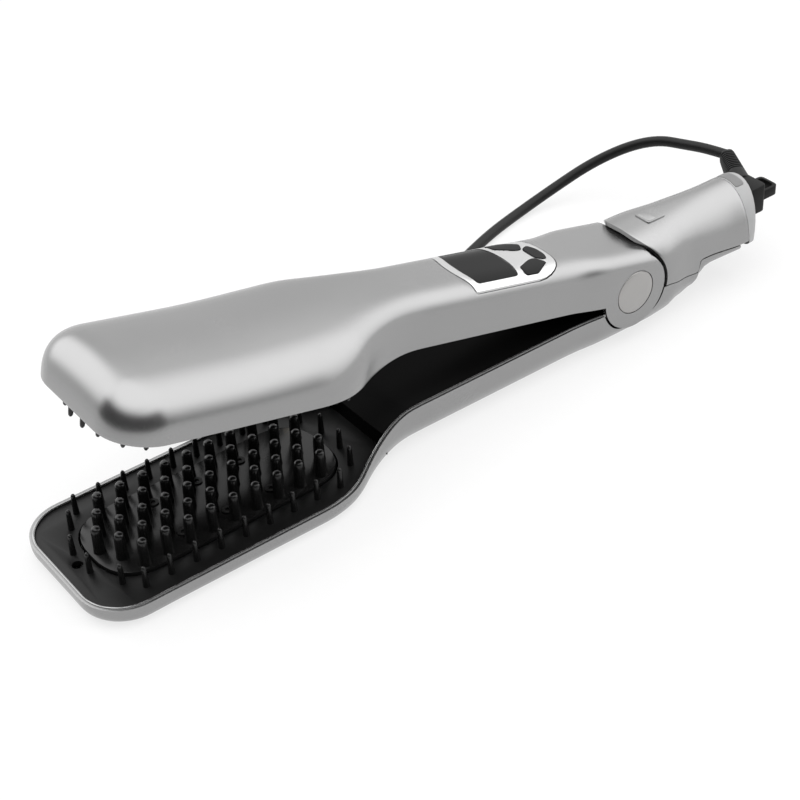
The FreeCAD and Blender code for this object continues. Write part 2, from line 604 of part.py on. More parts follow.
node("torsion_spring", cut(
    "torsion_spring",
    rod("spring_outside", "y", "barrel_radius + slip + spring_wire", ("pivot_x", "spring_side", "pivot_z"),
        "spring_length"),
    rod("spring_inside", "y", "barrel_radius + slip", ("pivot_x", "spring_side - 1", "pivot_z"),
        "spring_length + 2")))

# ------------------------------------------------------------------ tail
TAIL_LOW = "handle_rim + rim_gap"


def tail_solid(name, inset, low, rear):
    """The tail seen from above, flared at its collar, with rounded shoulders."""
    side = [("pivot_x + 5", f"collar_half - {inset}"), ("heel_x - 23", f"collar_half - {inset}"),
            ("heel_x - 7", f"tail_half - {inset}"), (rear, f"tail_half - {inset}")]
    top = f"tail_top - {inset}"
    body = prism(name, "XY_Plane", mirrored(side), low, top)
    fillet(body, "tail_blend", upright(side[1], side[2]))
    return fillet(body, f"tail_round - {inset}", level(top, value(rear)))


LATCH_END = "latch_x + latch_length"
tail_hollow = tail_solid("tail_hollow", "wall", "handle_rim - 1", "tail_end + 1")
node("tail_cover", cut(
    "tail_cover", tail_solid("tail_block", "0", TAIL_LOW, "tail_end"), tail_hollow,
    rod("collar_bore", "y", "collar_radius", ("pivot_x", f"-{FAR}", "pivot_z"), f"2 * {FAR}"),
    box("latch_slot", ("latch_x - seat_gap", f"{LATCH_END} + latch_travel + seat_gap"),
        ("-(latch_half + seat_gap)", "latch_half + seat_gap"), ("tail_top - 8", "tail_top + 5"))))
node("lock_slider", fuse(
    "lock_slider",
    box("latch_stem", ("latch_x", LATCH_END), ("-latch_half", "latch_half"),
        ("tail_top - wall - 1.5", "tail_top + latch_proud")),
    box("latch_foot", ("latch_x - 2", f"{LATCH_END} + 2"), ("-latch_half - 2", "latch_half + 2"),
        ("tail_top - wall - 1.9", "tail_top - wall - 0.4"))))
TANK = "(wall + seat_gap)"
TANK_IN = "(wall + seat_gap + tank_skin)"
node("water_tank", cut(
    "water_tank",
    common("tank_block", tail_solid("tank_outside", TANK, f"{TAIL_LOW} + seat_gap", "tail_end + 1"),
           box("tank_span", ("tank_front", "tail_end - seat_gap"), (f"-{FAR}", str(FAR)),
               ("0", "tail_top"))),
    common("tank_room", tail_solid("tank_inside", TANK_IN, f"{TAIL_LOW} + 1.5", "tail_end + 1"),
           box("tank_room_span", ("tank_front + tank_skin", "tail_end + 1"), (f"-{FAR}", str(FAR)),
                ("0", "tail_top")))))
END_TOP = "tail_end + end_cap_top"
PLUG_SEAT = (("tail_end + 2", "tail_end + 6.8"), ("-6.5", "6.5"))
end_profile = across("end_profile", [("tail_end", "tail_floor"), ("tail_end + end_cap_foot", "tail_floor"),
                                     (END_TOP, "tail_top"), ("tail_end", "tail_top")])
node("tail_end_cap", cut(
    "tail_end_cap",
    common("end_block", tail_solid("end_blank", "0", "tail_floor", f"{END_TOP} + 1"), end_profile),
    rod("swivel_bore", "x", "swivel_radius + slip", ("tail_end - 1", "0", "gland_z"), "end_cap_top + 5"),
    box("plug_seat", *PLUG_SEAT, ("tail_top - 1.4", "tail_top + 1"))))
node("filler_plug", group("filler_plug", box("filler", *PLUG_SEAT, ("tail_top - 1.4", "tail_top"))))
node("micro_pump", group("micro_pump", rod("pump", "x", "pump_radius", (
    "pivot_x - pump_length / 2", "pump_line", "wall + pump_radius"), "pump_length")))
PUMP_FRONT = "pivot_x - pump_length / 2"
node("water_tube", group("water_tube", rod(
    "water_pipe", "x", "tube_radius", (BOILER[1], "pump_line - 1", "wall + pump_radius - 1"),
    f"{PUMP_FRONT} - ({BOILER[1]})")))

# ------------------------------------------------------------------ cord


def swept(name, points, radius, radii=None):
    """A tube along straight runs joined by tangent arcs, as large as the runs allow or as given."""
    edges = []
    at = points[0]
    for n in range(1, len(points) - 1):
        before = points[n] - points[n - 1]
        after = points[n + 1] - points[n]
        turn = before.getAngle(after)
        bend = radii[n - 1] if radii else 0.45 * min(before.Length, after.Length) / math.tan(turn / 2)
        trim = bend * math.tan(turn / 2)
        way_in = before.normalize()
        way_out = after.normalize()
        start = points[n] - way_in * trim
        end = points[n] + way_out * trim
        inward = (way_out - way_in).normalize()
        middle = points[n] + inward * (bend / math.cos(turn / 2) - bend)
        edges.append(Part.LineSegment(at, start).toShape())
        edges.append(Part.Arc(start, middle, end).toShape())
        at = end
        print(f"{name} point {n}: turn {math.degrees(turn):.1f} degrees, bend radius {bend:.1f} mm")
    edges.append(Part.LineSegment(at, points[-1]).toShape())
    path = Part.Wire(edges)
    heading = (points[1] - points[0]).normalize()
    section = Part.Wire(Part.Circle(points[0], heading, radius).toShape())
    tube = path.makePipeShell([section], True, False)
    print(f"{name}: length {path.Length:.1f} mm, volume {tube.Volume:.0f} mm3, "
          f"section times length {math.pi * radius ** 2 * path.Length:.0f} mm3")
    return tube


suction = [Vector(value(x), value("pump_line"), value(z)) for x, z in (
    ("pivot_x + pump_length / 2", "wall + pump_radius"), ("suction_low", "wall + pump_radius"),
    ("suction_high", "suction_z"), ("tank_front", "suction_z"))]
node("suction_tube", group("suction_tube", feature("suction_pipe", swept("suction tube", suction,
                                                                         value("tube_radius")))))

GLAND = [("gland_front", "-gland_half"), ("gland_rear", "-gland_half"), ("gland_rear", "gland_half"),
         ("gland_front", "gland_half")]
gland_block = fillet(prism("gland_block", "XY_Plane", GLAND, "gland_z - gland_half", "gland_z + gland_half"),
                     "2.5", upright(*GLAND))
node("cord_swivel", group("cord_swivel", rod("swivel", "x", "swivel_radius", (
    "tail_end + seat_gap", "0", "gland_z"), "gland_front - tail_end - seat_gap")))
node("cord_gland", gland_block)
LOOP_END = "gland_rear + loop_reach"
loop_outer = [("gland_rear", "-loop_half"), (LOOP_END, "-loop_half"), (LOOP_END, "loop_half"),
              ("gland_rear", "loop_half")]
loop_body = fillet(prism("loop_body", "XY_Plane", loop_outer, "gland_z - loop_width / 2",
                         "gland_z + loop_width / 2"), "3.2", upright(loop_outer[1]))
node("hanging_loop", cut("hanging_loop", loop_body, box(
    "loop_eye", ("gland_rear - 1", f"{LOOP_END} - loop_thick"),
    ("-(loop_half - loop_thick)", "loop_half - loop_thick"),
    ("0", "casing_top"))))

CORD_ROUTE = [(0, 0, 0), (-1.5, 10, -0.6), (-4.5, 23, -2.6), (-8.5, 36, -4.1), (-16.5, 49, -10.1),
              (-30.5, 60, -19.1), (-49.5, 66, -28.6)]
relief_start = Vector(value("gland_rear - 4"), value("gland_half"), value("gland_z + 1.5"))
relief_end = relief_start + Vector(value("relief_lean"), value("relief_reach"), value("relief_rise"))
cord_way = Vector(*CORD_ROUTE[1])
relief_ends = [Part.Wire(Part.Circle(at, way, value(size)).toShape()) for at, way, size in (
    (relief_start, Vector(0, 1, 0), "relief_root"), (relief_end, cord_way, "relief_tip"))]
node("strain_relief", group("strain_relief", feature("relief_loft", Part.makeLoft(relief_ends, True))))

TO_COIL = [(181.5, 22), (160, 16.5), (140, 9), (119, 0.5), (96, -7.5), (73, -14), (50, -20), (29, -24.5),
           (8, -27.2)]
radius = value("cord_radius")
cord_points = [relief_end + Vector(*step) for step in CORD_ROUTE] + [
    Vector(value("coil_x") + x, value("coil_y") + y, radius) for x, y in TO_COIL]
COIL = ("coil_x", "coil_y", "0")
coil_ring = cut("coil_ring", rod("coil_outside", "z", "coil_mean + coil_band", COIL, "coil_height"),
                rod("coil_inside", "z", "coil_mean - coil_band", COIL, "coil_height"))
node("cord_coil", group("cord_coil", coil_ring))
node("cord", cut("cord", feature("cord_tube", swept("cord", cord_points, radius)), coil_ring))
TIE_IN = "coil_y + coil_mean - coil_band - 0.6"  # loose on the inside, close on the outside
TIE_OUT = "coil_y + coil_mean + coil_band + 0.1"
node("cord_tie", cut(
    "cord_tie",
    box("tie_outside", ("coil_x - tie_width / 2", "coil_x + tie_width / 2"),
        (f"{TIE_IN} - tie_thick", f"{TIE_OUT} + tie_thick"), ("0", "coil_height + tie_thick")),
    box("tie_inside", ("coil_x - tie_width", "coil_x + tie_width"), (TIE_IN, TIE_OUT),
        ("-1", "coil_height"))))
PLUG_TAIL = "coil_x - plug_length / 2"
PLUG_FACE = "coil_x + plug_length / 2"
PLUG_SIDE = [(PLUG_TAIL, "5"), (f"{PLUG_TAIL} + 7", "8"), (f"{PLUG_TAIL} + 21", "plug_half"),
             (PLUG_FACE, "plug_half")]
plug_corners = [(x, f"coil_y - ({y})") for x, y in PLUG_SIDE] + \
    [(x, f"coil_y + ({y})") for x, y in reversed(PLUG_SIDE)]
node("plug_body", prism("plug_body", "XY_Plane", plug_corners, "coil_height", "coil_height + plug_thick"))
PLUG_Z = "coil_height + plug_thick / 2"
node("plug_pins", group("plug_pins", *[
    rod(f"plug_pin_{tag}", "x", "plug_pin_radius", (PLUG_FACE, f"coil_y + {sign}plug_pin_half", PLUG_Z),
        "plug_pin_length") for tag, sign in (("far", ""), ("near", "-"))]))
plug_tail = Vector(value(PLUG_TAIL), value("coil_y"), value(PLUG_Z))
drop = value("plug_thick") / 2
node("cord_end", group("cord_end", feature("cord_end_tube", swept("cord end", [
    plug_tail + Vector(0, 0, 0), plug_tail - Vector(2 + drop, 0, 0), plug_tail - Vector(2 + drop, 0, drop)],
    radius, [drop - 0.05]))))

# ------------------------------------------------------------------ placing, checking and writing
hinge_line = Vector(value("pivot_x"), 0, value("pivot_z"))
to_rest_face = Vector(-value("rest_x"), 0, 0)
opened = Rotation(Vector(0, 1, 0), value("open_angle"))
closed_place = Placement(to_rest_face, Rotation())
open_place = Placement(hinge_line + to_rest_face - opened.multVec(hinge_line), opened)
doc.recompute()
for name, (piece, arm) in NODES.items():
    piece.Label = name
    piece.Placement = open_place if arm else closed_place
doc.recompute()
for item in doc.Objects:
    if "Invalid" in item.State or "Error" in item.State:
        raise RuntimeError(f"{item.Name} failed to build")
os.makedirs("parts", exist_ok=True)
for name, (piece, arm) in NODES.items():
    if piece.Shape.isNull() or not piece.Shape.isValid():
        raise RuntimeError(f"{name} has no valid shape")
    piece.Shape.exportStep(f"parts/{name}.step")
print(f"{len(NODES)} nodes written")
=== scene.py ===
"""Looks of a steam hair straightening brush.

Painted casings, dark insides, a control panel, a tail and the lead.  Sizes are in millimetres, in the
frame in which the brush is drawn: x from near the tip of the lower paddle, z up from its rest face,
arms closed.  `settle` carries a finished piece to the part's own frame, in metres, and swings the
pieces of the upper arm open.
"""
import math

import bpy
from mathutils import Matrix, Vector


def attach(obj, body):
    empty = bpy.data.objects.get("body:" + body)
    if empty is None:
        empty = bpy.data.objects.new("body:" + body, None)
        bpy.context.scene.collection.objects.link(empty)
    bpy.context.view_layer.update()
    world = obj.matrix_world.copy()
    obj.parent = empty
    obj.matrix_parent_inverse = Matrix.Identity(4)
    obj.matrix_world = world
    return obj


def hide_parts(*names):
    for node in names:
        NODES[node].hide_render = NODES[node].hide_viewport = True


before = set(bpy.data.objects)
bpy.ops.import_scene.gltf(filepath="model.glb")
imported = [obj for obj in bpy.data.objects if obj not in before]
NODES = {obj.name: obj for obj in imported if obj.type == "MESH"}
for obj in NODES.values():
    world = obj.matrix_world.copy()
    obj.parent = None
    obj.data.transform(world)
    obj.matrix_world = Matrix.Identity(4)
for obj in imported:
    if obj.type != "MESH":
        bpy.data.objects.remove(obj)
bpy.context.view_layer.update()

# -------- sizes
REST_X = 54.0  # the part's own origin
PIVOT = Vector((269.2, 0, 25.2))
OPEN_ANGLE = math.radians(13.6)
TO_FRAME = Matrix.Scale(0.001, 4) @ Matrix.Translation((-REST_X, 0, 0))
SWING = (Matrix.Translation(PIVOT) @ Matrix.Rotation(OPEN_ANGLE, 4, "Y")
         @ Matrix.Translation(-PIVOT))

PADDLE_HALF, HANDLE_HALF, TIP_RADIUS = 36.1, 18.5, 19.2  # half widths, and the corners of the tip
NECK_FRONT, NECK_REAR = 107.0, 136.4
OUTER_RUN, INNER_RUN = 13.0, 18.5  # how far the two bends of the neck reach
RAMP = (108.0, 150.0)  # where the rims rise from the paddle to the handle
CASING_TOP, WALL = 42.2, 2.0
EAR_RADIUS, EAR_HALF, ARM_REAR = 17.0, 20.0, 18.4
CAP_RADIUS = 9.85


# -------- curves of numbers
def ease(x, start, end):
    """0 before start, 1 after end, and a smooth turn between them."""
    t = min(max((x - start) / (end - start), 0), 1)
    return t * t * (3 - 2 * t)


def mix(first, second, t):
    return first + (second - first) * t


def through(x, knots):
    """A value on a smooth line through (x, value) knots."""
    if x <= knots[0][0]:
        return knots[0][1]
    for (x0, y0), (x1, y1) in zip(knots, knots[1:]):
        if x <= x1:
            return mix(y0, y1, ease(x, x0, x1))
    return knots[-1][1]


def steps(*stretches):
    """Evenly spaced numbers over (start, end, count) stretches, the end of each left out."""
    return [mix(start, end, n / count) for start, end, count in stretches for n in range(count)]


def superellipse(turn, power):
    """Across and up, each from 0 to 1, at a turn from 0 (side) to 90 degrees (crest)."""
    across, up = max(math.cos(turn), 0.0), max(math.sin(turn), 0.0)
    reach = (across ** power + up ** power) ** (-1 / power)
    return across * reach, up * reach


def around(turn, power):
    """Across and up, each from -1 to 1, at a turn round a whole section."""
    across, up = superellipse(abs(math.asin(math.sin(turn))), power)
    return math.copysign(across, math.cos(turn)), math.copysign(up, math.sin(turn))


# -------- camera
FRAME_PIXELS = 800


def view_from(place, forward, right, up, focal):
    """A camera at a place, looking along `forward`, with its focal length in pixels of the frame."""
    camera = bpy.data.cameras.new("camera")
    camera.sensor_width = 36
    camera.lens = focal * camera.sensor_width / FRAME_PIXELS
    camera.clip_start = 0.01
    holder = bpy.data.objects.new("camera", camera)
    turn = Matrix((right, up, -Vector(forward))).transposed()
    holder.matrix_world = Matrix.Translation(place) @ turn.to_4x4()
    bpy.context.scene.collection.objects.link(holder)
    bpy.context.scene.camera = holder


view_from(place=(-0.2363, -0.4848, 0.4602), forward=(0.45667, 0.65265, -0.60457),
          right=(0.79796, -0.60096, -0.04600), up=(0.39334, 0.46141, 0.79523), focal=1803)


# -------- mains lead
CORD_RADIUS = 2.5
RELIEF_END = Vector((368.5, 26, 35.5))
# The course of the lead: steps off the relief's end, places on the floor, the coil and the way onto it.
OFF_THE_RELIEF = [(0, 0, 0), (-1.5, 10, -0.6), (-4.5, 23, -2.6), (-8.5, 36, -4.1), (-16.5, 49, -10.1),
                  (-30.5, 60, -19.1), (-49.5, 66, -28.6)]
ON_THE_FLOOR = [(297.5, 91.5), (276, 86), (256, 78.5), (235, 70), (212, 62), (189, 55.5), (166, 48),
                (145, 41.5), (127, 37.2)]
COIL_MIDDLE = Vector((116, 69.5, 0))
COIL_TRACKS = (32.5, 27.5, 22.5)
COIL_LAYERS = (2.5, 7.5, 12.5)
COIL_TURNS, TURN_POINTS = 8, 16
SHIFT_FROM, SHIFT_RUN = 0.7, 0.3  # the share of a turn over which the lead moves to the next track
ONTO_THE_COIL = [(124, 38.6, 13.8), (112, 39.8, 15.6), (99, 41.0, 17.4), (87.5, 45.5, 18.8),
                 (82.3, 54, 20.2), (84.6, 65.2, 21.4), (92, 69.5, 21.85), (98.7, 69.5, 21.85)]


def wound():
    """Points of the coil: three tracks inwards, three outwards on top, then inwards again."""
    tracks = COIL_TRACKS + COIL_TRACKS[::-1] + COIL_TRACKS
    grow = 1 / math.cos(math.pi / TURN_POINTS)
    points = []
    for step in range(1, COIL_TURNS * TURN_POINTS):
        turn, along = divmod(step / TURN_POINTS, 1)
        shift = max(0, along - SHIFT_FROM) / SHIFT_RUN
        here, after = (min(int(turn) + n, len(tracks) - 1) for n in (0, 1))
        radius = mix(tracks[here], tracks[after], shift)
        height = mix(COIL_LAYERS[here // 3], COIL_LAYERS[after // 3], shift)
        angle = -math.pi / 2 - math.tau * step / TURN_POINTS
        points.append(COIL_MIDDLE + Vector((math.cos(angle) * radius * grow,
                                            math.sin(angle) * radius * grow, height)))
    return points


def lead(name, points):
    """The whole lead as one smooth curve."""
    curve = bpy.data.curves.new(name, "CURVE")
    curve.dimensions = "3D"
    curve.bevel_depth = CORD_RADIUS * 0.001
    curve.bevel_resolution = 3
    curve.resolution_u = 6
    curve.use_fill_caps = True
    spline = curve.splines.new("NURBS")
    spline.points.add(len(points) - 1)
    for control, point in zip(spline.points, points):
        control.co = (*(TO_FRAME @ Vector(point)), 1)
    spline.order_u = 3
    spline.use_endpoint_u = True
    piece = bpy.data.objects.new(name, curve)
    bpy.context.scene.collection.objects.link(piece)
    return piece


mains_lead = lead("mains_lead", [
    *(RELIEF_END + Vector(step) for step in OFF_THE_RELIEF),
    *((x, y, CORD_RADIUS) for x, y in ON_THE_FLOOR), *wound(), *ONTO_THE_COIL])


# -------- shader maths
class Socket:
    """A shader socket whose arithmetic adds Math nodes; numbers may stand on either side."""

    def __init__(self, tree, socket):
        self.tree = tree
        self.socket = socket

    def math(self, operation, *others):
        node = self.tree.nodes.new("ShaderNodeMath")
        node.operation = operation
        for slot, item in zip(node.inputs, (self, *others)):
            if isinstance(item, Socket):
                self.tree.links.new(item.socket, slot)
            else:
                slot.default_value = item
        return Socket(self.tree, node.outputs[0])

    def __add__(self, other):
        return self.math("ADD", other)

    def __mul__(self, other):
        return self.math("MULTIPLY", other)

    def __sub__(self, other):
        return self.math("SUBTRACT", other)

    def __rsub__(self, other):
        return self * -1 + other

    __radd__ = __add__
    __rmul__ = __mul__


class Graph:
    """Any node tree, with one way to make a node and one to fill a slot."""

    def __init__(self, tree):
        self.tree = tree

    def add(self, kind, settings=(), **inputs):
        """A node: its settings first, then the values and links of its inputs, by name or as i0, i1."""
        node = self.tree.nodes.new("ShaderNode" + kind)
        for key, value in dict(settings).items():
            setattr(node, key, value)
        for name, value in inputs.items():
            number = name[0] == "i" and name[1:].isdigit()
            self.feed(node.inputs[int(name[1:]) if number else name.replace("_", " ")], value)
        return node

    def feed(self, slot, value):
        if isinstance(value, Socket):
            value = value.socket
        if isinstance(value, bpy.types.NodeSocket):
            self.tree.links.new(value, slot)
        else:
            slot.default_value = value

    def socket(self, node, output=0):
        return Socket(self.tree, node.outputs[output])

    def seen(self):
        """1 for camera, glossy and transmission rays, 0 for the rays that light things."""
        path = self.add("LightPath")
        seen = self.socket(path, "Is Camera Ray")
        for ray in ("Is Glossy Ray", "Is Transmission Ray"):
            seen = seen.math("MAXIMUM", self.socket(path, ray))
        return seen


class Finish(Graph):
    """One material: a Principled shader and the nodes that feed it."""

    def __init__(self, name, **constants):
        self.material = bpy.data.materials.new(name)
        self.material.use_nodes = True
        super().__init__(self.material.node_tree)
        self.shader = self.tree.nodes["Principled BSDF"]
        for slot, value in constants.items():
            self.shader.inputs[slot.replace("_", " ")].default_value = value
        self.place = self.add("TexCoord").outputs["Object"]

    def noise(self, size, detail=2.0, stretch=(1, 1, 1)):
        """Smooth noise with features of that size in millimetres, finer where stretch is over 1."""
        spot = self.place
        if stretch != (1, 1, 1):
            spot = self.add("Mapping", Vector=self.place, Scale=stretch).outputs[0]
        return self.socket(self.add("TexNoise", Vector=spot, Scale=1000 / size, Detail=detail))

    def blend(self, mask, first, second):
        """A colour between two colours."""
        return self.add("Mix", {"data_type": "RGBA"}, i0=mask, i6=first, i7=second).outputs[2]

    def bump(self, height, depth):
        """Relief of that depth in millimetres."""
        relief = self.add("Bump", Height=height, Distance=depth * 0.001, Strength=1.0)
        self.to("Normal", relief.outputs[0])

    def to(self, slot, value):
        self.feed(self.shader.inputs[slot], value)


def grey(level, warmth=0.0):
    return (level * (1 + warmth), level, level * (1 - warmth), 1)


def painted(name, level, roughness, warmth=0.0):
    """Satin metallic paint: fine flakes, a faint mottle and a thin clear coat."""
    finish = Finish(name, Metallic=0.9, Coat_Weight=0.1, Coat_Roughness=0.3)
    flakes = finish.noise(0.22, 1.0)
    mottle = finish.noise(38, 3.0)
    finish.to("Base Color", finish.blend(flakes * 0.55 + mottle * 0.45,
                                         grey(level * 0.9, warmth), grey(level * 1.1, warmth)))
    finish.to("Roughness", mottle * 0.06 + flakes * 0.04 + (roughness - 0.05))
    finish.bump(flakes, 0.004)
    return finish.material


def moulded(name, level, roughness, grain=0.35, depth=0.01, coat=0.0, warmth=0.0, shine=0.5):
    """Moulded plastic or rubber: fine grain, with slightly worn, uneven gloss."""
    finish = Finish(name, Coat_Weight=coat, Coat_Roughness=0.08, Specular_IOR_Level=shine)
    fine = finish.noise(grain, 2.0)
    wide = finish.noise(24, 3.0)
    finish.to("Base Color", finish.blend(wide * 0.6 + fine * 0.4,
                                         grey(level * 0.8, warmth), grey(level * 1.2, warmth)))
    finish.to("Roughness", wide * 0.12 + fine * 0.05 + (roughness - 0.085))
    finish.bump(fine, depth)
    return finish.material


def metal(name, colour, roughness, stretch=(1, 8, 8)):
    """Turned or drawn metal with fine lines."""
    finish = Finish(name, Metallic=1.0)
    lines = finish.noise(1.2, 3.0, stretch)
    dark = tuple(0.85 * part for part in colour[:3]) + (1,)
    finish.to("Base Color", finish.blend(lines, dark, colour))
    finish.to("Roughness", lines * 0.12 + (roughness - 0.06))
    finish.bump(lines, 0.006)
    return finish.material


FINISHES = {
    "silver_paint": painted("satin_silver_paint", 0.30, 0.26),
    "bezel_silver": painted("bright_bezel_paint", 0.60, 0.24),
    "cap_silver": painted("hinge_cap_paint", 0.37, 0.34, warmth=0.02),
    "black_plastic": moulded("gloss_black_plastic", 0.006, 0.24, depth=0.004, shine=0.35),
    "cover_black": moulded("matt_black_cover", 0.005, 0.40, grain=0.5, shine=0.2),
    "liner_black": moulded("smooth_black_liner", 0.0025, 0.32, grain=0.5, depth=0.004, shine=0.02),
    "matte_black": moulded("matt_black_plastic", 0.006, 0.46, grain=0.5, depth=0.02, shine=0.12),
    "window_glass": moulded("dark_display_glass", 0.004, 0.16, grain=1.5, depth=0.001, shine=0.09),
    "clear_tank": moulded("milky_tank_plastic", 0.36, 0.30, depth=0.004, coat=0.3, warmth=-0.004),
    "smoke_plug": moulded("smoke_grey_rubber", 0.17, 0.34),
    "plate_metal": moulded("dark_ceramic_coat", 0.008, 0.24, grain=0.8, depth=0.004, shine=0.3),
    "steel": metal("drawn_steel", (0.6, 0.6, 0.61, 1), 0.25),
    "dark_steel": metal("blackened_steel", (0.02, 0.02, 0.02, 1), 0.4),
    "board": moulded("green_board", 0.06, 0.4),
    "ceramic": moulded("white_ceramic", 0.75, 0.6),
    "silicone": moulded("clear_silicone", 0.6, 0.35),
    "cord_rubber": moulded("black_cord_rubber", 0.007, 0.42, grain=0.3, depth=0.02, shine=0.2),
    "brass": metal("plug_pin_brass", (0.78, 0.6, 0.3, 1), 0.22),
}


def coat(piece, finish):
    piece.data.materials.clear()
    piece.data.materials.append(FINISHES[finish])
    return piece


NODE_FINISHES = {
    "silver_paint": ["lower_casing", "upper_casing", "tail_cover", "lock_slider"],
    "bezel_silver": ["panel_bezel"],
    "cap_silver": ["hinge_caps"],
    "black_plastic": ["lower_heat_pegs", "upper_heat_pegs", "lower_edge_bristles",
                      "upper_edge_bristles"],
    "cover_black": ["lower_inner_cover", "upper_inner_cover"],
    "liner_black": ["handle_liner", "upper_handle_liner"],
    "matte_black": ["far_button", "near_button", "rear_button", "display_module", "tact_switches",
                    "hinge_block", "micro_pump", "cord_swivel", "cord_gland", "hanging_loop",
                    "cord_tie"],
    "window_glass": ["display_window"],
    "plate_metal": ["lower_heater_plate", "upper_heater_plate"],
    "steel": ["steam_generator", "hinge_pin", "torsion_spring"],
    "dark_steel": ["steam_vents", "tip_screw"],
    "ceramic": ["lower_heater_element", "upper_heater_element", "steam_duct"],
    "silicone": ["steam_tube", "water_tube", "suction_tube"],
    "clear_tank": ["tail_end_cap", "water_tank"],
    "smoke_plug": ["filler_plug"],
    "cord_rubber": ["strain_relief", "cord", "cord_coil", "plug_body", "cord_end"],
    "brass": ["plug_pins"],
    "board": ["driver_board", "key_board"],
}
for finish, names in NODE_FINISHES.items():
    for name in names:
        coat(NODES[name], finish)


# -------- modelling tools
def active(piece):
    """Selects one piece alone."""
    bpy.ops.object.select_all(action="DESELECT")
    piece.select_set(True)
    bpy.context.view_layer.objects.active = piece
    return piece


def started(name):
    """Names the piece that was just added or joined."""
    piece = bpy.context.object
    piece.name = piece.data.name = name
    return piece


def primitive(name, operator, **settings):
    """Adds a primitive with nothing else selected."""
    bpy.ops.object.select_all(action="DESELECT")
    operator(**settings)
    return started(name)


def edited(piece, *changes):
    """Runs edit mode operators with everything selected."""
    active(piece)
    bpy.ops.object.mode_set(mode="EDIT")
    for operator, settings in changes:
        bpy.ops.mesh.select_all(action="SELECT")
        operator(**settings)
    bpy.ops.object.mode_set(mode="OBJECT")
    return piece


MERGE = (bpy.ops.mesh.remove_doubles, {"threshold": 0.003})
FACE_OUT = (bpy.ops.mesh.normals_make_consistent, {"inside": False})


def shaped(piece, kind, **settings):
    """Adds a modifier and applies it."""
    modifier = piece.modifiers.new(kind, kind)
    for key, value in settings.items():
        setattr(modifier, key, value)
    active(piece)
    bpy.ops.object.modifier_apply(modifier=modifier.name)
    return piece


def softened(piece, width, segments=2, angle=40):
    """Rounds the sharp edges and smooths the rest."""
    shaped(piece, "BEVEL", width=width, segments=segments, limit_method="ANGLE",
           angle_limit=math.radians(angle))
    return smooth(piece)


def smooth(piece, angle=35):
    active(piece)
    bpy.ops.object.shade_smooth_by_angle(angle=math.radians(angle))
    return piece


def combined(piece, tool, operation="DIFFERENCE"):
    """A piece less a tool, or what the two share; the tool is used up."""
    shaped(piece, "BOOLEAN", operation=operation, object=tool, solver="EXACT")
    bpy.data.objects.remove(tool)
    return piece


def joined(name, *pieces):
    """Pieces made one."""
    active(pieces[0])
    for piece in pieces:
        piece.select_set(True)
    bpy.ops.object.join()
    return started(name)


def skin(name, across, along, place):
    """A sheet of quads whose corner (i, j) lies at place(i, j)."""
    piece = primitive(name, bpy.ops.mesh.primitive_grid_add, x_subdivisions=across,
                      y_subdivisions=along, size=2)
    for corner in piece.data.vertices:
        corner.co = place(round((corner.co.x + 1) / 2 * across), round((corner.co.y + 1) / 2 * along))
    return edited(piece, MERGE, FACE_OUT)


def prism(name, corners, low, high):
    """An upright prism over an outline seen from above."""
    piece = primitive(name, bpy.ops.mesh.primitive_circle_add, vertices=len(corners), radius=1,
                      fill_type="NGON")
    for corner, (x, y) in zip(piece.data.vertices, corners):
        corner.co = (x, y, low)
    rise = {"TRANSFORM_OT_translate": {"value": (0, 0, high - low)}}
    return edited(piece, (bpy.ops.mesh.extrude_region_move, rise), FACE_OUT)


def rounded(corners, radius, points=5):
    """An outline with each corner replaced by an arc-like curve that starts `radius` away from it."""
    result = []
    for n, corner in enumerate(corners):
        here = Vector(corner)
        size = radius[n] if isinstance(radius, list) else radius
        before, after = (Vector(corners[(n + k) % len(corners)]) - here for k in (-1, 1))
        size = min(size, before.length * 0.49, after.length * 0.49)
        start, end = here + before.normalized() * size, here + after.normalized() * size
        for point in range(points + 1):
            t = point / points
            result.append(start * (1 - t) ** 2 + here * 2 * t * (1 - t) + end * t * t)
    return result


def oblong(front, rear, half, radius, points=5):
    """A rounded oblong outline across the middle line."""
    return rounded([(front, -half), (rear, -half), (rear, half), (front, half)], radius, points)


def grown(corners, distance):
    """An outline moved outwards all round."""
    middle = sum((Vector(corner) for corner in corners), Vector((0, 0))) / len(corners)
    result = []
    for n, corner in enumerate(corners):
        along = Vector(corners[(n + 1) % len(corners)]) - Vector(corners[n - 1])
        out = Vector((along.y, -along.x)).normalized()
        if out.dot(Vector(corner) - middle) < 0:
            out = -out
        result.append(Vector(corner) + out * distance)
    return result


def lathe(name, profile, segments=16):
    """A turned piece about Z from (radius, height) pairs."""
    def place(i, j):
        radius, height = profile[j]
        angle = math.tau * i / segments
        return Vector((radius * math.cos(angle), radius * math.sin(angle), height))
    return skin(name, segments, len(profile) - 1, place)


def copies(name, pattern, spots):
    """One piece made of a copy of the pattern at each spot; the pattern is used up."""
    made = []
    for spot in spots:
        copy = pattern.copy()
        copy.data = pattern.data.copy()
        copy.data.transform(spot)
        bpy.context.scene.collection.objects.link(copy)
        made.append(copy)
    bpy.data.objects.remove(pattern)
    return joined(name, *made)


def hinge_cylinder(name, radius, middle, depth, sides):
    """A cylinder about the hinge's axis, with its middle that far to the side."""
    return primitive(name, bpy.ops.mesh.primitive_cylinder_add, vertices=sides, radius=radius,
                     depth=depth, location=(PIVOT.x, middle, PIVOT.z), rotation=(math.pi / 2, 0, 0))


def settle(piece, finish, body, *nodes, arm=False):
    """Carries a finished piece into the part's frame, coats it and lets it ride."""
    piece.data.transform(TO_FRAME @ SWING if arm else TO_FRAME)
    coat(piece, finish)
    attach(piece, body)
    if nodes:
        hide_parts(*nodes)
    return piece


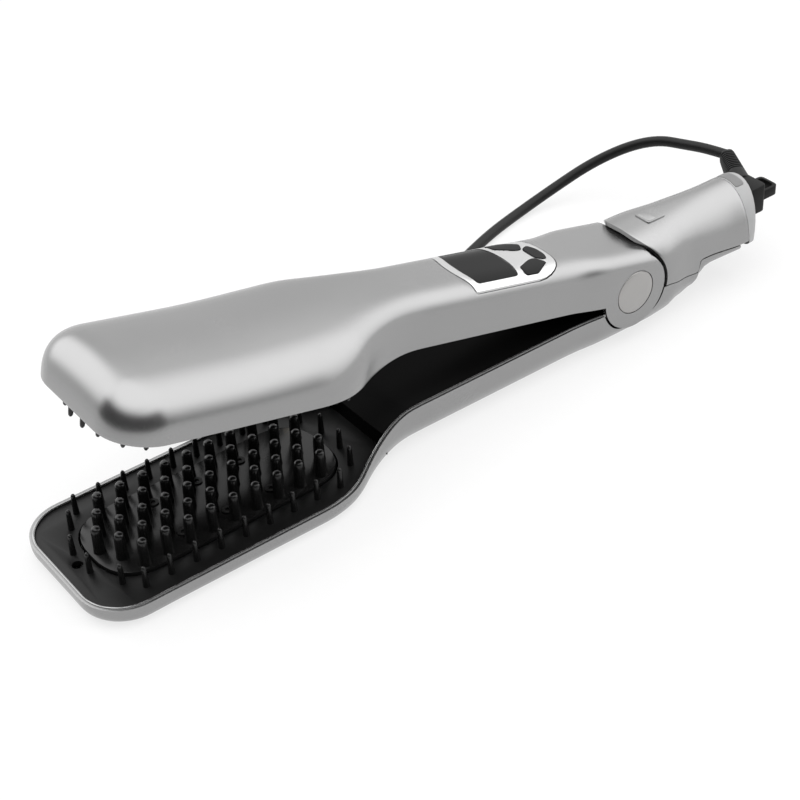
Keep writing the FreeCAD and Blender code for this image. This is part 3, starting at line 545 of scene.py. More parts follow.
# -------- outline of the brush from above
LEAN = math.atan((PADDLE_HALF - HANDLE_HALF) / (NECK_REAR - NECK_FRONT))
OUTER_BEND, INNER_BEND = (run / math.tan(LEAN / 2) for run in (OUTER_RUN, INNER_RUN))
TIP_STEPS, TURN_STEPS = 6, 14
FAN = 34.0  # the sections of the tip meet this far behind it


def half_width(x):
    """Half the width of the paddle, neck or handle at x."""
    if x < NECK_FRONT - OUTER_RUN:
        return PADDLE_HALF
    if x < NECK_FRONT + OUTER_RUN * math.cos(LEAN):
        return PADDLE_HALF - OUTER_BEND + math.sqrt(OUTER_BEND ** 2 - (x - NECK_FRONT + OUTER_RUN) ** 2)
    if x < NECK_REAR - INNER_RUN * math.cos(LEAN):
        return PADDLE_HALF - (x - NECK_FRONT) * math.tan(LEAN)
    if x < NECK_REAR + INNER_RUN:
        return HANDLE_HALF + INNER_BEND - math.sqrt(INNER_BEND ** 2 - (NECK_REAR + INNER_RUN - x) ** 2)
    return HANDLE_HALF


def edge_line(front, stations, half):
    """Points of one side of the outline: across the tip, round its corner and on along the stations."""
    flat = PADDLE_HALF - TIP_RADIUS
    tip = [(front, flat * n / TIP_STEPS) for n in range(TIP_STEPS)]
    corner = [(front + TIP_RADIUS * (1 - math.cos(a)), flat + TIP_RADIUS * math.sin(a))
              for a in (math.pi / 2 * n / TURN_STEPS for n in range(TURN_STEPS))]
    return tip + corner + [(x, half(x)) for x in stations]


def inward(edge, j):
    """The way in from a point of an edge line, seen from above."""
    before = Vector(edge[max(j - 1, 0)])
    if j == 0 and before.y == 0:
        before = Vector((edge[1][0], -edge[1][1]))
    along = Vector(edge[min(j + 1, len(edge) - 1)]) - before
    return Vector((along.y, -along.x)).normalized()


# -------- upper casing
UPPER_FRONT = 9.0
UPPER_RIM = (16.8, 20.5)  # height of the rim at the paddle and at the handle
ROOF_END, ROOF_STEP = 276.4, 14.6  # the end of the roof over the hinge, and the radius below it
REAR_TURN = math.asin((PIVOT.z - UPPER_RIM[1]) / EAR_RADIUS)  # where the ears leave the rim
TO_THE_HANDLE = (97, 150)  # where the soft paddle turns into the handle


def upper_half(x):
    return half_width(x) + (EAR_HALF - HANDLE_HALF) * ease(x, 232, 252)


def upper_power(x):
    """How square the section is: a soft paddle, a squarer handle."""
    return 2.6 + 1.9 * ease(x, 97, 140) + 1.4 * ease(x, 235, 255)


def upper_band(x):
    """How far in from the outline the edges are rounded."""
    return 18.5 - 1.5 * ease(x, *TO_THE_HANDLE)


def upper_crown(x, y):
    """Height of the crowned top, its rounded edges left out."""
    spread = 4.4 * (1 - ease(x, *TO_THE_HANDLE)) * (abs(y) / PADDLE_HALF) ** 2
    return CASING_TOP - 4.9 * (1 - ease(x, 60, 150)) - spread


def upper_rim(x):
    return mix(*UPPER_RIM, ease(x, *RAMP))


def upper_top(x, y):
    """Height of the upper casing's outside above a point of the handle."""
    reach = min(max((abs(y) - upper_half(x)) / upper_band(x) + 1, 0), 1)
    power = upper_power(x)
    return upper_rim(x) + (upper_crown(x, y) - upper_rim(x)) * (1 - reach ** power) ** (1 / power)


def ear_bottom(x):
    return PIVOT.z - math.sqrt(max(EAR_RADIUS ** 2 - (x - PIVOT.x) ** 2, 0))


def rear_top(x, y):
    """Height of the rounded rear end of the arm, with a step down behind the edge of its roof."""
    if x < ROOF_END:
        radius = EAR_RADIUS + (ARM_REAR - EAR_RADIUS) * (1 - min(abs(y) / 18, 1) ** 4)
    else:
        radius = mix(ROOF_STEP, EAR_RADIUS, ease(abs(y), 14.5, 17.5))
    return PIVOT.z + math.sqrt(max(radius ** 2 - (x - PIVOT.x) ** 2, 0))


EAR_STEPS = 26
ear_stations = [PIVOT.x - EAR_RADIUS * math.cos(mix(REAR_TURN, math.pi - REAR_TURN, n / EAR_STEPS))
                for n in range(EAR_STEPS + 1)]
roof_stations = [ROOF_END - 0.05, ROOF_END + 0.05]
upper_stations = (steps((UPPER_FRONT + TIP_RADIUS, 94, 16), (94, 160, 24), (160, 252.2, 24))
                  + sorted(ear_stations + roof_stations) + [286.0, 286.2])
upper_edge = edge_line(UPPER_FRONT, upper_stations, upper_half)
SKIRT_ROWS, BAND_ROWS, TOP_ROWS = 6, 26, 5
ROWS = SKIRT_ROWS + BAND_ROWS + TOP_ROWS
HALVINGS = 30  # of the search for the line on which the rear end cuts a section


def upper_corner(i, j):
    """i runs from the near rim over the crest to the far rim, j from the tip to the rear."""
    side = -1 if i <= ROWS else 1
    row = min(i, 2 * ROWS - i)
    x, y = upper_edge[j]
    rim, power, way = upper_rim(x), upper_power(x), inward(upper_edge, j)
    on_ear = x > PIVOT.x - EAR_RADIUS * math.cos(REAR_TURN) - 0.01
    low = ear_bottom(x) if on_ear else rim
    if row < SKIRT_ROWS:
        return Vector((x, side * y, mix(low, rim, row / SKIRT_ROWS) if low < rim else low))

    def at(part):
        """Over the rounded band for parts 0 to 1, then over the crowned top for parts 1 to 2."""
        reach, lift = superellipse(min(part, 1) * math.pi / 2, power)
        spot = Vector((x, y)) + way * upper_band(x) * (1 - reach)
        if part > 1:
            spot = spot.lerp(Vector((max(x, UPPER_FRONT + FAN), 0)), part - 1)
        return Vector((spot.x, side * spot.y, rim + (upper_crown(spot.x, spot.y) - rim) * lift))

    up = row - SKIRT_ROWS
    part = up / BAND_ROWS if up <= BAND_ROWS else 1 + (up - BAND_ROWS) / TOP_ROWS
    point = at(part)
    if x > PIVOT.x and at(2).z > rear_top(x, 0):
        inside, outside = 2.0, 0.0
        for _ in range(HALVINGS):
            middle = (inside + outside) / 2
            spot = at(middle)
            inside, outside = (middle, outside) if spot.z > rear_top(x, spot.y) else (inside, middle)
        if abs(part - inside) <= 0.5 / BAND_ROWS:
            point = at(inside)
        point.z = min(point.z, rear_top(x, point.y))
    point.z = max(point.z, low)
    return point


upper_casing = skin("upper_shell", 2 * ROWS, len(upper_edge) - 1, upper_corner)
shaped(upper_casing, "SOLIDIFY", thickness=WALL, offset=-1, use_even_offset=True)

PANEL_LINE = rounded([(180.0, -16.0), (229.2, -16.0), (229.2, 16.0), (180.0, 16.0), (177.4, 5),
                      (177.4, -5)], [1.2, 15, 15, 1.2, 5, 5], 8)
THROUGH_THE_TOP = (30, 60)  # heights between which a prism passes all of the handle's top
combined(upper_casing, prism("panel_opening", grown(PANEL_LINE, 0.5), *THROUGH_THE_TOP))
for side in (-1, 1):
    combined(upper_casing, hinge_cylinder("cap_seat", CAP_RADIUS + 0.3, side * (EAR_HALF + 1), 4, 72))
softened(upper_casing, 0.3)
settle(upper_casing, "silver_paint", "upper_arm", "upper_casing", arm=True)

# -------- hinge caps
cap = lathe("cap", [(0, 0), (CAP_RADIUS, 0), (CAP_RADIUS, 0.7), (CAP_RADIUS - 0.12, 0.95),
                    (CAP_RADIUS - 0.4, 1.1), (CAP_RADIUS * 0.6, 1.28), (CAP_RADIUS * 0.3, 1.36),
                    (0, 1.38)], 72)
hinge_caps = copies("hinge_cap_discs", smooth(cap), [
    Matrix.Translation((PIVOT.x, side * (EAR_HALF - 1), PIVOT.z))
    @ Matrix.Rotation(-side * math.pi / 2, 4, "X") for side in (-1, 1)])
settle(hinge_caps, "cap_silver", "upper_arm", "hinge_caps", arm=True)

# -------- control panel
SHEET_FRONT, SHEET_LENGTH, SHEET_HALF = 174, 62, 17.4
SHEET_ACROSS, SHEET_ALONG = 48, 31


def sheet_of_top(name, high, low):
    """A slab that follows the casing's crown between two depths, a little larger than the panel."""
    def place(i, j):
        x = SHEET_FRONT + SHEET_LENGTH * j / SHEET_ALONG
        y = -SHEET_HALF + 2 * SHEET_HALF * i / SHEET_ACROSS
        return Vector((x, y, upper_top(x, y) + high))
    piece = skin(name, SHEET_ACROSS, SHEET_ALONG, place)
    if sum(face.normal.z for face in piece.data.polygons) < 0:
        edited(piece, (bpy.ops.mesh.flip_normals, {}))
    return shaped(piece, "SOLIDIFY", thickness=high - low, offset=-1)


def slab(name, line, high, low):
    """A slab of the casing's crown, cut to an outline."""
    return combined(sheet_of_top(name, high, low), prism("blank", line, *THROUGH_THE_TOP), "INTERSECT")


WINDOW_LINE = rounded([(182.5, -13.3), (204.2, -13.3), (206.6, -6), (207.2, 0), (206.6, 6),
                       (204.2, 13.3), (182.5, 13.3), (181.2, 5), (181.2, -5)],
                      [1.6, 1.6, 4, 4, 4, 1.6, 1.6, 5, 5])
SIDE_BUTTON = [(208.6, 8.8), (208.0, 13.9), (214.6, 14.0), (223.0, 8.8), (220.4, 4.4), (217.4, 4.4)]
BUTTON_LINES = {
    "far_button": rounded(SIDE_BUTTON, 1.2),
    "near_button": rounded([(x, -y) for x, y in SIDE_BUTTON], 1.2),
    "rear_button": rounded([(220.9, -4.2), (225.0, -6.6), (227.2, -2.8), (227.2, 2.8), (225.0, 6.6),
                            (220.9, 4.2)], 1.6),
}
bezel = slab("panel_plate", PANEL_LINE, 0.12, -1.5)
for line in (grown(WINDOW_LINE, 0.05), *(grown(line, 0.25) for line in BUTTON_LINES.values())):
    combined(bezel, prism("opening", line, *THROUGH_THE_TOP))
settle(softened(bezel, 0.28), "bezel_silver", "upper_arm", "panel_bezel", arm=True)
window = slab("display_pane", WINDOW_LINE, -0.1, -1.2)
settle(softened(window, 0.15), "window_glass", "upper_arm", "display_window", arm=True)
for name, line in BUTTON_LINES.items():
    button = slab(name + "_cap", line, 0.35, -3)
    settle(softened(button, 0.45, 3), "matte_black", name, name, arm=True)

# -------- lower casing
LOWER_RIM = (9.1, 20.1)  # height of the rim at the paddle and at the handle
HEEL = [(280, 0), (291, 0.9), (300, 3.0), (307, 6.4), (311.5, 11), (315.5, 15.2), (319, 16), (350, 16)]
SEAM = [(280, 20.5), (288, 20.5), (298, 18.6), (309.2, 17.0), (311.4, 22.6), (313, 22.7), (341, 19.9)]


def heel(x):
    """Height of the casing's underside."""
    return through(x, HEEL)


def seam(x):
    """Height at which the tail cover sits on the casing."""
    return through(x, SEAM)


def tail_half(x):
    return mix(19.9, 17.4, ease(x, 288, 308))


def lower_half(x):
    return half_width(x) if x < 230 else mix(HANDLE_HALF, tail_half(x), ease(x, 236, 256))


def lower_rim(x):
    if x < 285:
        return mix(*LOWER_RIM, ease(x, *RAMP))
    return min(seam(x) - 0.4, mix(LOWER_RIM[1], 23, ease(x, 285, 300)))


LOWER_FRONT = -3.5
lower_edge = edge_line(LOWER_FRONT, steps(
    (LOWER_FRONT + TIP_RADIUS, 94, 16), (94, 160, 26), (160, 280, 16), (280, 300, 8), (300, 308, 6),
    (308, 313, 12), (313, 320, 5), (320, 341.1, 4)), lower_half)
WALL_ROWS, CORNER_ROWS, FLOOR_ROWS = 3, 12, 5
LOWER_ROWS = WALL_ROWS + CORNER_ROWS + FLOOR_ROWS
CORNER_POWER = 2.15


def lower_corner(i, j):
    """i runs down the near wall, round its corner, over the floor and up to the far rim."""
    side = -1 if i <= LOWER_ROWS else 1
    row = min(i, 2 * LOWER_ROWS - i)
    x, y = lower_edge[j]
    start = Vector((x, side * y))
    way = Vector((max(x, FAN), 0)) - start
    rim, ground = lower_rim(x), heel(x)
    rise = min(mix(7.0, 16.0, ease(x, *RAMP)), rim - ground - 0.3)
    run = mix(mix(7.5, 15.0, ease(x, *RAMP)), 6.0, ease(x, 296, 318))
    if row <= WALL_ROWS:
        inwards, z = 0.0, mix(rim, ground + rise, row / WALL_ROWS)
    elif row <= WALL_ROWS + CORNER_ROWS:
        up, across = superellipse(math.pi / 2 * (row - WALL_ROWS) / CORNER_ROWS, CORNER_POWER)
        inwards, z = run * (1 - up), ground + rise * (1 - across)
    else:
        inwards, z = mix(run, way.length, (row - WALL_ROWS - CORNER_ROWS) / FLOOR_ROWS), ground
    spot = start + way.normalized() * min(inwards, way.length)
    return Vector((spot.x, spot.y, z))


EAR_POCKET, POCKET_DEPTH = 16.2, 10
lower_casing = skin("lower_shell", 2 * LOWER_ROWS, len(lower_edge) - 1, lower_corner)
shaped(lower_casing, "SOLIDIFY", thickness=WALL, offset=-1, use_even_offset=True)
for side in (-1, 1):
    combined(lower_casing, hinge_cylinder("ear_pocket", EAR_RADIUS + 1.0,
                                          side * (EAR_POCKET + POCKET_DEPTH / 2), POCKET_DEPTH, 96))
settle(softened(lower_casing, 0.4, 3), "silver_paint", "lower_arm", "lower_casing")

LINER_ROWS = 14
LINER_DROP, LINER_DISH, LINER_SKIRT = 0.8, 0.7, 5  # below the rim, in the middle, at the sides
LINER_WALL_FOOT = 8.0
liner_edge = [(x, lower_half(x)) for x in
              [134.7, 134.8, *steps((136, 160, 12), (160, 251.4, 9)), 251.4]]


def liner_corner(i, j):
    """i runs up the near skirt, across the dished lid and down the far skirt; the front is a wall."""
    x, y = liner_edge[j]
    start = Vector((x, y)) + inward(liner_edge, j) * (WALL + 0.25)
    across = min(max((i - 1) / (LINER_ROWS - 2), 0), 1) * 2 - 1
    z = lower_rim(x) - LINER_DROP - LINER_DISH * (1 - across ** 4)
    if j == 0:
        z = LINER_WALL_FOOT
    elif i in (0, LINER_ROWS):
        z -= LINER_SKIRT
    return Vector((x, across * start.y, z))


liner = skin("handle_lid", LINER_ROWS, len(liner_edge) - 1, liner_corner)
shaped(liner, "SOLIDIFY", thickness=0.6, offset=0)
settle(smooth(liner, 40), "liner_black", "lower_arm", "handle_liner")

# -------- plates, pegs and bristles
PLATE_FRONT, UPPER_PLATE_FRONT, PLATE_REAR, PLATE_HALF = 10.8, 17.4, 118.0, 21.6
PLATE_TOP, UPPER_PLATE_FACE, TRAY_TOP, UPPER_TRAY_FACE = 9.7, 23.4, 8.5, 24.0
PEG_PITCH, ROW_PITCH, PEG_FIRST = 10.03, 8.43, 15.2
PEG_AREA_CORNER, PEG_MARGIN = 13.5, 2.8
BRISTLE_PITCH, BRISTLE_SIDE = 11.0, 26.7
# Profiles: (radius, height) pairs.
PEG = [(0, 0), (2.5, 0), (2.42, 0.5), (2.3, 2.0), (2.08, 9.3), (1.95, 10.9), (1.5, 11.6), (0.8, 11.93),
       (0, 12)]
BRISTLE = [(0, 0), (1.35, 0), (1.3, 0.8), (1.0, 7.6), (0.9, 8.7), (0.5, 9.35), (0, 9.5)]
LONG_BRISTLE = [(0, 0), (1.35, 0), (1.3, 0.8), (1.0, 11.8), (0.9, 13.0), (0.5, 13.65), (0, 13.8)]


def on_plate(x, y, front):
    """Whether a peg there stays clear of the plate's edge and its rounded corners."""
    middle = (front + PLATE_REAR) / 2
    dx = abs(x - middle) - (PLATE_REAR - front) / 2 + PEG_AREA_CORNER
    dy = abs(y) - PLATE_HALF + PEG_AREA_CORNER
    reach = PEG_AREA_CORNER - PEG_MARGIN
    return math.hypot(max(dx, 0), max(dy, 0)) <= reach and max(dx, dy) <= reach


def lattice(front, shift_x, shift_y, height):
    """Places of the pegs: rows along the plate, every other one half a pitch on."""
    places = [(PEG_FIRST + shift_x + PEG_PITCH * (column + row % 2 / 2), shift_y + ROW_PITCH * row)
              for row in range(-3, 4) for column in range(-2, 14)]
    return [(x, y, height) for x, y in places if on_plate(x, y, front)]


def edge_row(first, height):
    """Places of the bristles along both sides of the plate."""
    count = int((PLATE_REAR - first) / BRISTLE_PITCH) + 1
    return [(first + BRISTLE_PITCH * n, side * BRISTLE_SIDE, height)
            for n in range(count) for side in (-1, 1)]


def mirrored(places, height):
    """Places on both sides of the middle line."""
    return [(x, side * y, height) for x, y in places for side in (-1, 1)]


def field(name, profile, places, segments, body, node, shrink=1.0, downwards=False):
    """Turned pins at each place, all in one piece."""
    flip = Matrix.Rotation(math.pi, 4, "X") if downwards else Matrix.Identity(4)
    outline = [(radius, height * shrink) for radius, height in profile]
    pin = smooth(lathe(name + "_pin", outline, segments), 60)
    piece = copies(name, pin, [Matrix.Translation(place) @ flip for place in places])
    return settle(piece, "black_plastic", body, node, arm=downwards)


LOWER_ENDS = [(7.2, 6.5), (13.6, 19.6), (121.6, 6.5), (118.6, 18.0)]
UPPER_ENDS = [(12.2, 4.3), (14.2, 12.0), (18.6, 21.8), (121.0, 13.0)]
field("heat_pegs", PEG, lattice(PLATE_FRONT, 0, 0, PLATE_TOP), 14, "lower_arm", "lower_heat_pegs")
field("arm_heat_pegs", PEG, lattice(UPPER_PLATE_FRONT, PEG_PITCH / 2, 2.73, UPPER_PLATE_FACE), 14,
      "upper_arm", "upper_heat_pegs", shrink=0.9, downwards=True)
field("tray_bristles", BRISTLE, edge_row(19.6, TRAY_TOP) + mirrored(LOWER_ENDS, TRAY_TOP), 10,
      "lower_arm", "lower_edge_bristles")
field("arm_bristles", LONG_BRISTLE, edge_row(25.1, UPPER_TRAY_FACE) + [(121.8, 0, UPPER_TRAY_FACE)]
      + mirrored(UPPER_ENDS, UPPER_TRAY_FACE), 10, "upper_arm", "upper_edge_bristles", downwards=True)


def plate_line(front, shrink):
    """Outline of a heating plate, drawn in by a margin."""
    return oblong(front + shrink, PLATE_REAR - shrink, PLATE_HALF - shrink, 19.5, 10)


lower_plate = prism("lower_plate", plate_line(PLATE_FRONT, 0.5), 6.0, PLATE_TOP)
settle(softened(lower_plate, 0.45), "plate_metal", "lower_arm", "lower_heater_plate")


def tray_line(inset, rear):
    """Outline of the tray, all round, moved inwards."""
    side = [(x, y) for x, y in lower_edge if x < rear]
    outline = [(x, -y) for x, y in reversed(side)] + side[1:]
    return grown(outline, -inset)


SCREW_X, SCREW_HOLE, HOLE_SIDES = 5.4, 2.2, 24
THROUGH_THE_TRAY = (0, 20)  # heights between which a prism passes all of the tray
screw = lathe("recessed_screw", [(0, 2.2), (1.0, 2.2), (1.0, 4.0), (2.0, 4.0), (2.0, 4.9), (1.6, 5.4),
                                 (0.6, 5.5), (0, 5.0)], 20)
screw.data.transform(Matrix.Translation((SCREW_X, 0, 0)))
settle(smooth(screw), "dark_steel", "lower_arm", "tip_screw")
tray_cover = combined(prism("tray_cover", tray_line(2.3, 138), 6.5, TRAY_TOP),
                      prism("plate_hole", plate_line(PLATE_FRONT, -0.1), *THROUGH_THE_TRAY))
hole_line = [(SCREW_X + SCREW_HOLE * math.cos(math.tau * n / HOLE_SIDES),
              SCREW_HOLE * math.sin(math.tau * n / HOLE_SIDES)) for n in range(HOLE_SIDES)]
combined(tray_cover, prism("screw_hole", hole_line, *THROUGH_THE_TRAY))
settle(softened(tray_cover, 0.25), "cover_black", "lower_arm", "lower_inner_cover")
bead = combined(prism("rim_bead", tray_line(1.15, 262), 8.3, 9.45),
                prism("bead_hole", tray_line(1.85, 261), *THROUGH_THE_TRAY))
for corner in bead.data.vertices:
    corner.co.z += lower_rim(corner.co.x) - LOWER_RIM[0]
settle(softened(bead, 0.12), "silver_paint", "lower_arm")

# -------- tail
TAIL_BASE, TAIL_TOP, TAIL_END = 16.0, 44.0, 341.0
COLLAR_RADIUS = 19.0
TAIL_ROWS, TAIL_STEPS, FRONT_ROUNDS = 28, 44, 12
THROUGH_THE_TAIL = (38, 50)  # heights between which a prism passes the tail's crest


def tail_power(x):
    return mix(3.2, 2.05, ease(x, 282, 335))


def tail_section(x, part, low):
    """Across and up on the tail's section: 0 at the height `low`, 1 at the crest."""
    power = tail_power(x)
    lift = (low - TAIL_BASE) / (TAIL_TOP - TAIL_BASE)
    start = math.atan2(lift, (1 - lift ** power) ** (1 / power))
    across, up = superellipse(mix(start, math.pi / 2, part), power)
    return tail_half(x) * across, TAIL_BASE + (TAIL_TOP - TAIL_BASE) * up


def tail_height(x, y):
    """Height of the tail's outside above a point."""
    power = tail_power(x)
    crown = (1 - (abs(y) / tail_half(x)) ** power) ** (1 / power)
    return TAIL_BASE + (TAIL_TOP - TAIL_BASE) * crown


def collar_front(y, z):
    """Where the collar starts: on a radius about the hinge that opens towards the crest."""
    radius = COLLAR_RADIUS + 0.1 + 1.7 * (1 - min(abs(y) / 16.5, 1) ** 2)
    return PIVOT.x + math.sqrt(max(radius ** 2 - (z - PIVOT.z) ** 2, 60))


def sheet_on_tail(name, front, length, half, cells, lift, thickness, section=None):
    """A thin sheet on the tail's crest, or on one section of it carried straight back."""
    across, along = cells

    def place(i, j):
        x, y = front + length * j / along, -half + 2 * half * i / across
        return Vector((x, y, tail_height(section or x, y) + lift))
    return shaped(skin(name, across, along, place), "SOLIDIFY", thickness=thickness, offset=0)


def tail_corner(i, j):
    """i runs from the near seam over the crest to the far seam, j from the collar to the end."""
    side = -1 if i <= TAIL_ROWS else 1
    row = min(i, 2 * TAIL_ROWS - i)
    x = 284.0
    for _ in range(FRONT_ROUNDS):
        y, z = tail_section(x, row / TAIL_ROWS, seam(x))
        x = collar_front(y, z)
    x = mix(x, TAIL_END, j / TAIL_STEPS)
    y, z = tail_section(x, row / TAIL_ROWS, seam(x))
    return Vector((x, side * y, z))


tail_cover = skin("tail_shell", 2 * TAIL_ROWS, TAIL_STEPS, tail_corner)
shaped(tail_cover, "SOLIDIFY", thickness=WALL, offset=-1, use_even_offset=True)
combined(tail_cover, prism("latch_slot", oblong(290.7, 298.8, 4.3, 1), *THROUGH_THE_TAIL))
settle(softened(tail_cover, 0.3), "silver_paint", "lower_arm", "tail_cover")

CAP_ROWS = 40
END_MIDDLE, CAP_MIDDLE = 20.0, 28.0  # heights about which the end section and its rows are drawn
# (part of the way back, size) of the rows of the end cap.
CAP_SHAPE = [(0, 1), (0.5, 1), (0.86, 0.995), (0.95, 0.98), (1, 0.95), (1.01, 0.8), (1.01, 0.4),
             (1.01, 0)]


def end_section(turn):
    """Across and up round the end of the tail: a turn from the side over the crest and underneath."""
    if math.sin(turn) < 0:
        across, up = around(turn, 3.0)
        return 17.3 * across, END_MIDDLE + 3.95 * up
    across, z = tail_section(TAIL_END, abs(math.asin(math.sin(turn))) / (math.pi / 2), END_MIDDLE)
    return math.copysign(across, math.cos(turn)), z


def end_corner(i, j):
    """i runs round the end cap, j along it, round its rear edge and in to the middle."""
    along, shrink = CAP_SHAPE[j]
    across, z = end_section(math.tau * i / CAP_ROWS)
    z = mix(CAP_MIDDLE, z, shrink)
    reach = mix(2.5, 8.8, (z - 16) / 28)
    return Vector((TAIL_END + 0.2 + reach * min(along, 1), across * shrink, z))


end_cap = skin("tank_end", CAP_ROWS, len(CAP_SHAPE) - 1, end_corner)
settle(smooth(end_cap, 50), "clear_tank", "lower_arm", "tail_end_cap")

filler_plug = combined(sheet_on_tail("filler_pane", 340, 9.0, 8, (16, 6), 0.12, 1.2, TAIL_END),
                       prism("filler_blank", oblong(341.9, 347.2, 6.2, 1.2), *THROUGH_THE_TOP),
                       "INTERSECT")
filler_plug.data.transform(Matrix.Translation((0, 0, -0.55)))
settle(softened(filler_plug, 0.2), "smoke_plug", "lower_arm", "filler_plug")


# -------- water tank and hinge block
TANK_ROWS, TANK_MIDDLE, TANK_GAP, TANK_DROP = 40, 26.0, 3.4, 2.2
# (x, size) of the rows of the tank.
TANK_SHAPE = [(310.5, 0.0), (310.5, 0.93), (311.5, 1.0), (320, 1.0), (330, 1.0), (339, 1.0),
              (340.3, 0.93), (340.3, 0.0)]


def tank_corner(i, j):
    """Closed sections inside the tail cover, drawn in at both ends."""
    x, fill = TANK_SHAPE[j]
    turn = math.tau * i / TANK_ROWS
    across, up = around(turn, tail_power(x))
    top, half = TAIL_TOP - TANK_GAP - TANK_MIDDLE, tail_half(x) - TANK_GAP
    z = TANK_MIDDLE + up * (top if up > 0 else TANK_DROP)
    return Vector((x, half * across * fill, TANK_MIDDLE + (z - TANK_MIDDLE) * fill))


tank = skin("water_bottle", TANK_ROWS, len(TANK_SHAPE) - 1, tank_corner)
settle(smooth(tank, 50), "clear_tank", "lower_arm", "water_tank")

barrel = lathe("barrel", [(3.2, 0), (6.2, 0), (6.5, 0.3), (6.5, 27.9), (6.2, 28.2), (3.2, 28.2)], 48)
barrel.data.transform(Matrix.Translation((PIVOT.x, 14.1, PIVOT.z))
                      @ Matrix.Rotation(math.pi / 2, 4, "X"))
leg = prism("leg", oblong(264.6, 273.8, 7, 1.5), 3.2, PIVOT.z - 4)
hinge_block = joined("hinge_bracket", leg, smooth(barrel))
settle(softened(hinge_block, 0.3), "matte_black", "lower_arm", "hinge_block")

# -------- lock tab
tab = prism("tab", oblong(291.2, 295.6, 3.6, 1.0), 40.5, TAIL_TOP + 0.7)
apron = combined(sheet_on_tail("lock_apron", 289, 13.0, 6, (16, 12), 0.1, 0.8),
                 prism("apron_blank", oblong(290.2, 300.4, 4.6, 1.2), *THROUGH_THE_TAIL), "INTERSECT")
lock_tab = joined("lock_tab", apron, softened(tab, 0.45, 3))
settle(softened(lock_tab, 0.12), "silver_paint", "lock_slider", "lock_slider")

# -------- gland, loop and strain relief
GLAND_Z = 30.0
gland_line = oblong(350.0, 361.5, 6.9, [0.8, 2.4, 2.4, 0.8])
gland = softened(prism("gland", gland_line, GLAND_Z - 6.9, GLAND_Z + 6.9), 1.3, 3)
settle(gland, "matte_black", "lower_arm", "cord_gland")
loop_line = oblong(360.5, 370.8, 5.4, [0.5, 2.6, 2.6, 0.5])
eye_line = oblong(361.6, 369.3, 3.9, [0.4, 1.8, 1.8, 0.4])
loop = combined(prism("loop", loop_line, GLAND_Z - 2.4, GLAND_Z + 2.4),
                prism("eye", eye_line, GLAND_Z - 10, GLAND_Z + 10))
settle(softened(loop, 0.35), "matte_black", "lower_arm", "hanging_loop")

RELIEF_START = Vector((358.3, 6.2, 31.2))
RIBS, RELIEF_SIDES, RELIEF_POWER = 10, 32, 3.2
ribs = [(0.30 + 0.58 * (n + part) / RIBS, size) for n in range(RIBS)
        for part, size in ((0.0, 1.0), (0.45, 1.0), (0.55, 0.88), (0.95, 0.88))]
# (way along, size) pairs: a plain root, fine ribs, a rounded tip.
RELIEF_SECTIONS = [(0, 0.0), (0, 1.0), (0.27, 1.0), *ribs, (0.9, 1.0), (0.97, 0.92), (1.0, 0.75),
                   (1.0, 0.0)]


def relief_corner(i, j):
    """A flat, tapering wedge with rounded sides."""
    way, size = RELIEF_SECTIONS[j]
    middle = RELIEF_START.lerp(RELIEF_END, way)
    along = (RELIEF_END - RELIEF_START).normalized()
    side = along.cross(Vector((0, 0, 1))).normalized()
    up = side.cross(along)
    across, lift = around(math.tau * i / RELIEF_SIDES, RELIEF_POWER)
    wide, tall = mix(4.6, 3.3, way), mix(6.2, 4.0, way)
    return middle + (side * (wide * across) + up * (tall * lift)) * size


relief = skin("ribbed_relief", RELIEF_SIDES, len(RELIEF_SECTIONS) - 1, relief_corner)
settle(smooth(relief, 30), "cord_rubber", "lower_arm", "strain_relief")

# -------- plug
PLUG_Y, PLUG_Z, PLUG_LOW, PLUG_TALL = 69.5, 21.85, 15.1, 13.5
GROOVES, GROOVE_PITCH = 4, 2.1
plug_side = [(98.6, 5.0), (105.5, 7.6), (111.0, 9.2), (119.5, 16.4), (123.0, 17.5), (133.4, 17.5)]
plug_line = rounded([(x, PLUG_Y - y) for x, y in plug_side]
                    + [(x, PLUG_Y + y) for x, y in reversed(plug_side)],
                    [2.2, 4, 5, 4, 4, 3, 3, 4, 4, 5, 4, 2.2], 4)
plug = softened(prism("plug", plug_line, PLUG_LOW, PLUG_LOW + PLUG_TALL), 3.0, 5)
for n in range(GROOVES):
    for side in (-1, 1):
        groove = primitive("grip_groove", bpy.ops.mesh.primitive_cube_add, size=1,
                           location=(124.0 + GROOVE_PITCH * n, PLUG_Y + side * 17.9, PLUG_Z),
                           scale=(0.9, 2.2, 8.5))
        combined(plug, groove)
settle(smooth(plug, 40), "cord_rubber", "lower_arm", "plug_body")

# -------- lead on the part
coat(mains_lead, "cord_rubber")
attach(mains_lead, "lower_arm")
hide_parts("cord", "cord_coil", "cord_end")


# -------- floor and light
AMBIENT = 0.42
DARK_SIDE, DARKNESS = (-0.74, -0.67, 0), 0.97
# Bright places of the room: the way to each, and the cosines at which it begins and is full.
LIT_SIDES = [((-0.34, 0.76, 0.56), 0.78, 0.96), ((0.557, -0.321, 0.766), 0.35, 1.0)]
BRIGHTNESS = 1.5
CEILING = (0.62, 0.90)  # heights on the sphere between which the ceiling turns bright


def lamp(name, place, aim, size, power):
    """A soft rectangular lamp that reflections don't show."""
    light = bpy.data.lights.new(name, "AREA")
    light.shape = "RECTANGLE"
    light.size, light.size_y = size
    light.energy = power
    holder = bpy.data.objects.new(name, light)
    holder.location = place
    holder.visible_camera = holder.visible_glossy = False
    holder.rotation_euler = (Vector(aim) - Vector(place)).to_track_quat("-Z", "Y").to_euler()
    bpy.context.scene.collection.objects.link(holder)


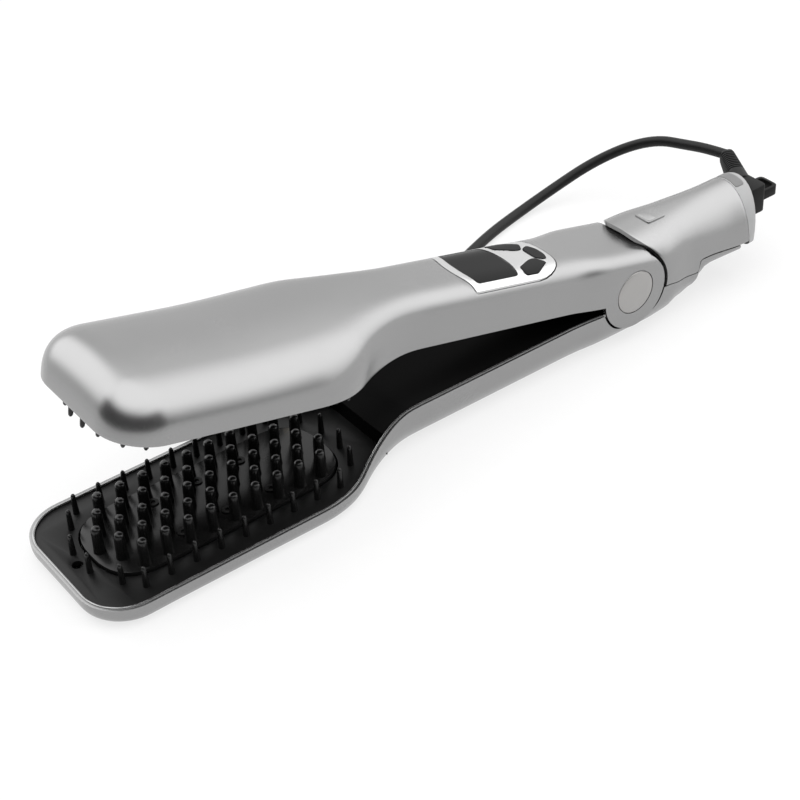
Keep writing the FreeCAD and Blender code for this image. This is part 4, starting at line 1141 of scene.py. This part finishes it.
def studio():
    """Even light all round; reflections see a bright ceiling and a room that is dark on one side."""
    world = bpy.data.worlds.new("studio")
    bpy.context.scene.world = world
    world.use_nodes = True
    graph = Graph(world.node_tree)
    ambient = world.node_tree.nodes["Background"]
    ambient.inputs["Color"].default_value = (1, 1, 1, 1)
    ambient.inputs["Strength"].default_value = AMBIENT
    heading = graph.add("TexCoord").outputs["Generated"]
    height = graph.socket(graph.add("SeparateXYZ", Vector=heading), 2)

    def fade(value, start, end):
        return graph.socket(graph.add("MapRange", {"interpolation_type": "SMOOTHSTEP"}, Value=value,
                                      From_Min=start, From_Max=end))

    def toward(way):
        dot = graph.add("VectorMath", {"operation": "DOT_PRODUCT"}, i0=heading, i1=way)
        return dot.outputs["Value"]

    lit = fade(height, *CEILING)
    for way, start, end in LIT_SIDES:
        lit = lit.math("MAXIMUM", fade(toward(way), start, end))
    off_level = (height - 0.10).math("ABSOLUTE")
    shade = fade(toward(DARK_SIDE), -0.05, 0.35) * (1 - fade(off_level, 0.42, 0.62))
    glossy = graph.socket(graph.add("LightPath"), "Is Glossy Ray")
    strength = 1 + glossy * ((1 + lit * BRIGHTNESS) * (1 - shade * DARKNESS) - 1)
    white = graph.add("Background", Color=(1, 1, 1, 1), Strength=strength)
    both = graph.add("MixShader", Fac=graph.seen(), i1=ambient.outputs[0], i2=white.outputs[0])
    graph.feed(world.node_tree.nodes["World Output"].inputs["Surface"], both.outputs[0])


def white_floor(size):
    """A pale paper floor that keeps the shadow and blends into the white room."""
    floor = primitive("floor", bpy.ops.mesh.primitive_plane_add, size=size, location=(0.1, 0, -0.0002))
    paper = Finish("floor_paper", Roughness=0.9, Specular_IOR_Level=0.1)
    paper.to("Base Color", paper.blend(paper.noise(6), grey(0.93), grey(0.97)))
    glow = paper.add("Emission", Color=(1, 1, 1, 1), Strength=1.0)
    distance = paper.add("VectorMath", {"operation": "LENGTH"}, i0=paper.place).outputs["Value"]
    share = paper.socket(paper.add("MapRange", {"interpolation_type": "SMOOTHSTEP"}, Value=distance,
                                   From_Min=0.3, From_Max=0.7, To_Min=0.72, To_Max=1.0))
    both = paper.add("MixShader", Fac=paper.seen() * share, i1=paper.shader.outputs[0],
                     i2=glow.outputs[0])
    paper.feed(paper.tree.nodes["Material Output"].inputs["Surface"], both.outputs[0])
    floor.data.materials.append(paper.material)


studio()
white_floor(4)
lamp("overhead_box", (0.05, 0.05, 0.95), (0.05, 0.05, 0), (1.5, 1.5), 12.5)
lamp("right_box", (0.60, -0.62, 0.50), (0.08, 0, 0.04), (0.38, 0.42), 1.1)
lamp("left_box", (-0.30, 0.78, 0.47), (0.02, 0, 0.06), (0.38, 0.42), 1.1)

bpy.context.scene.view_settings.view_transform = "Standard"
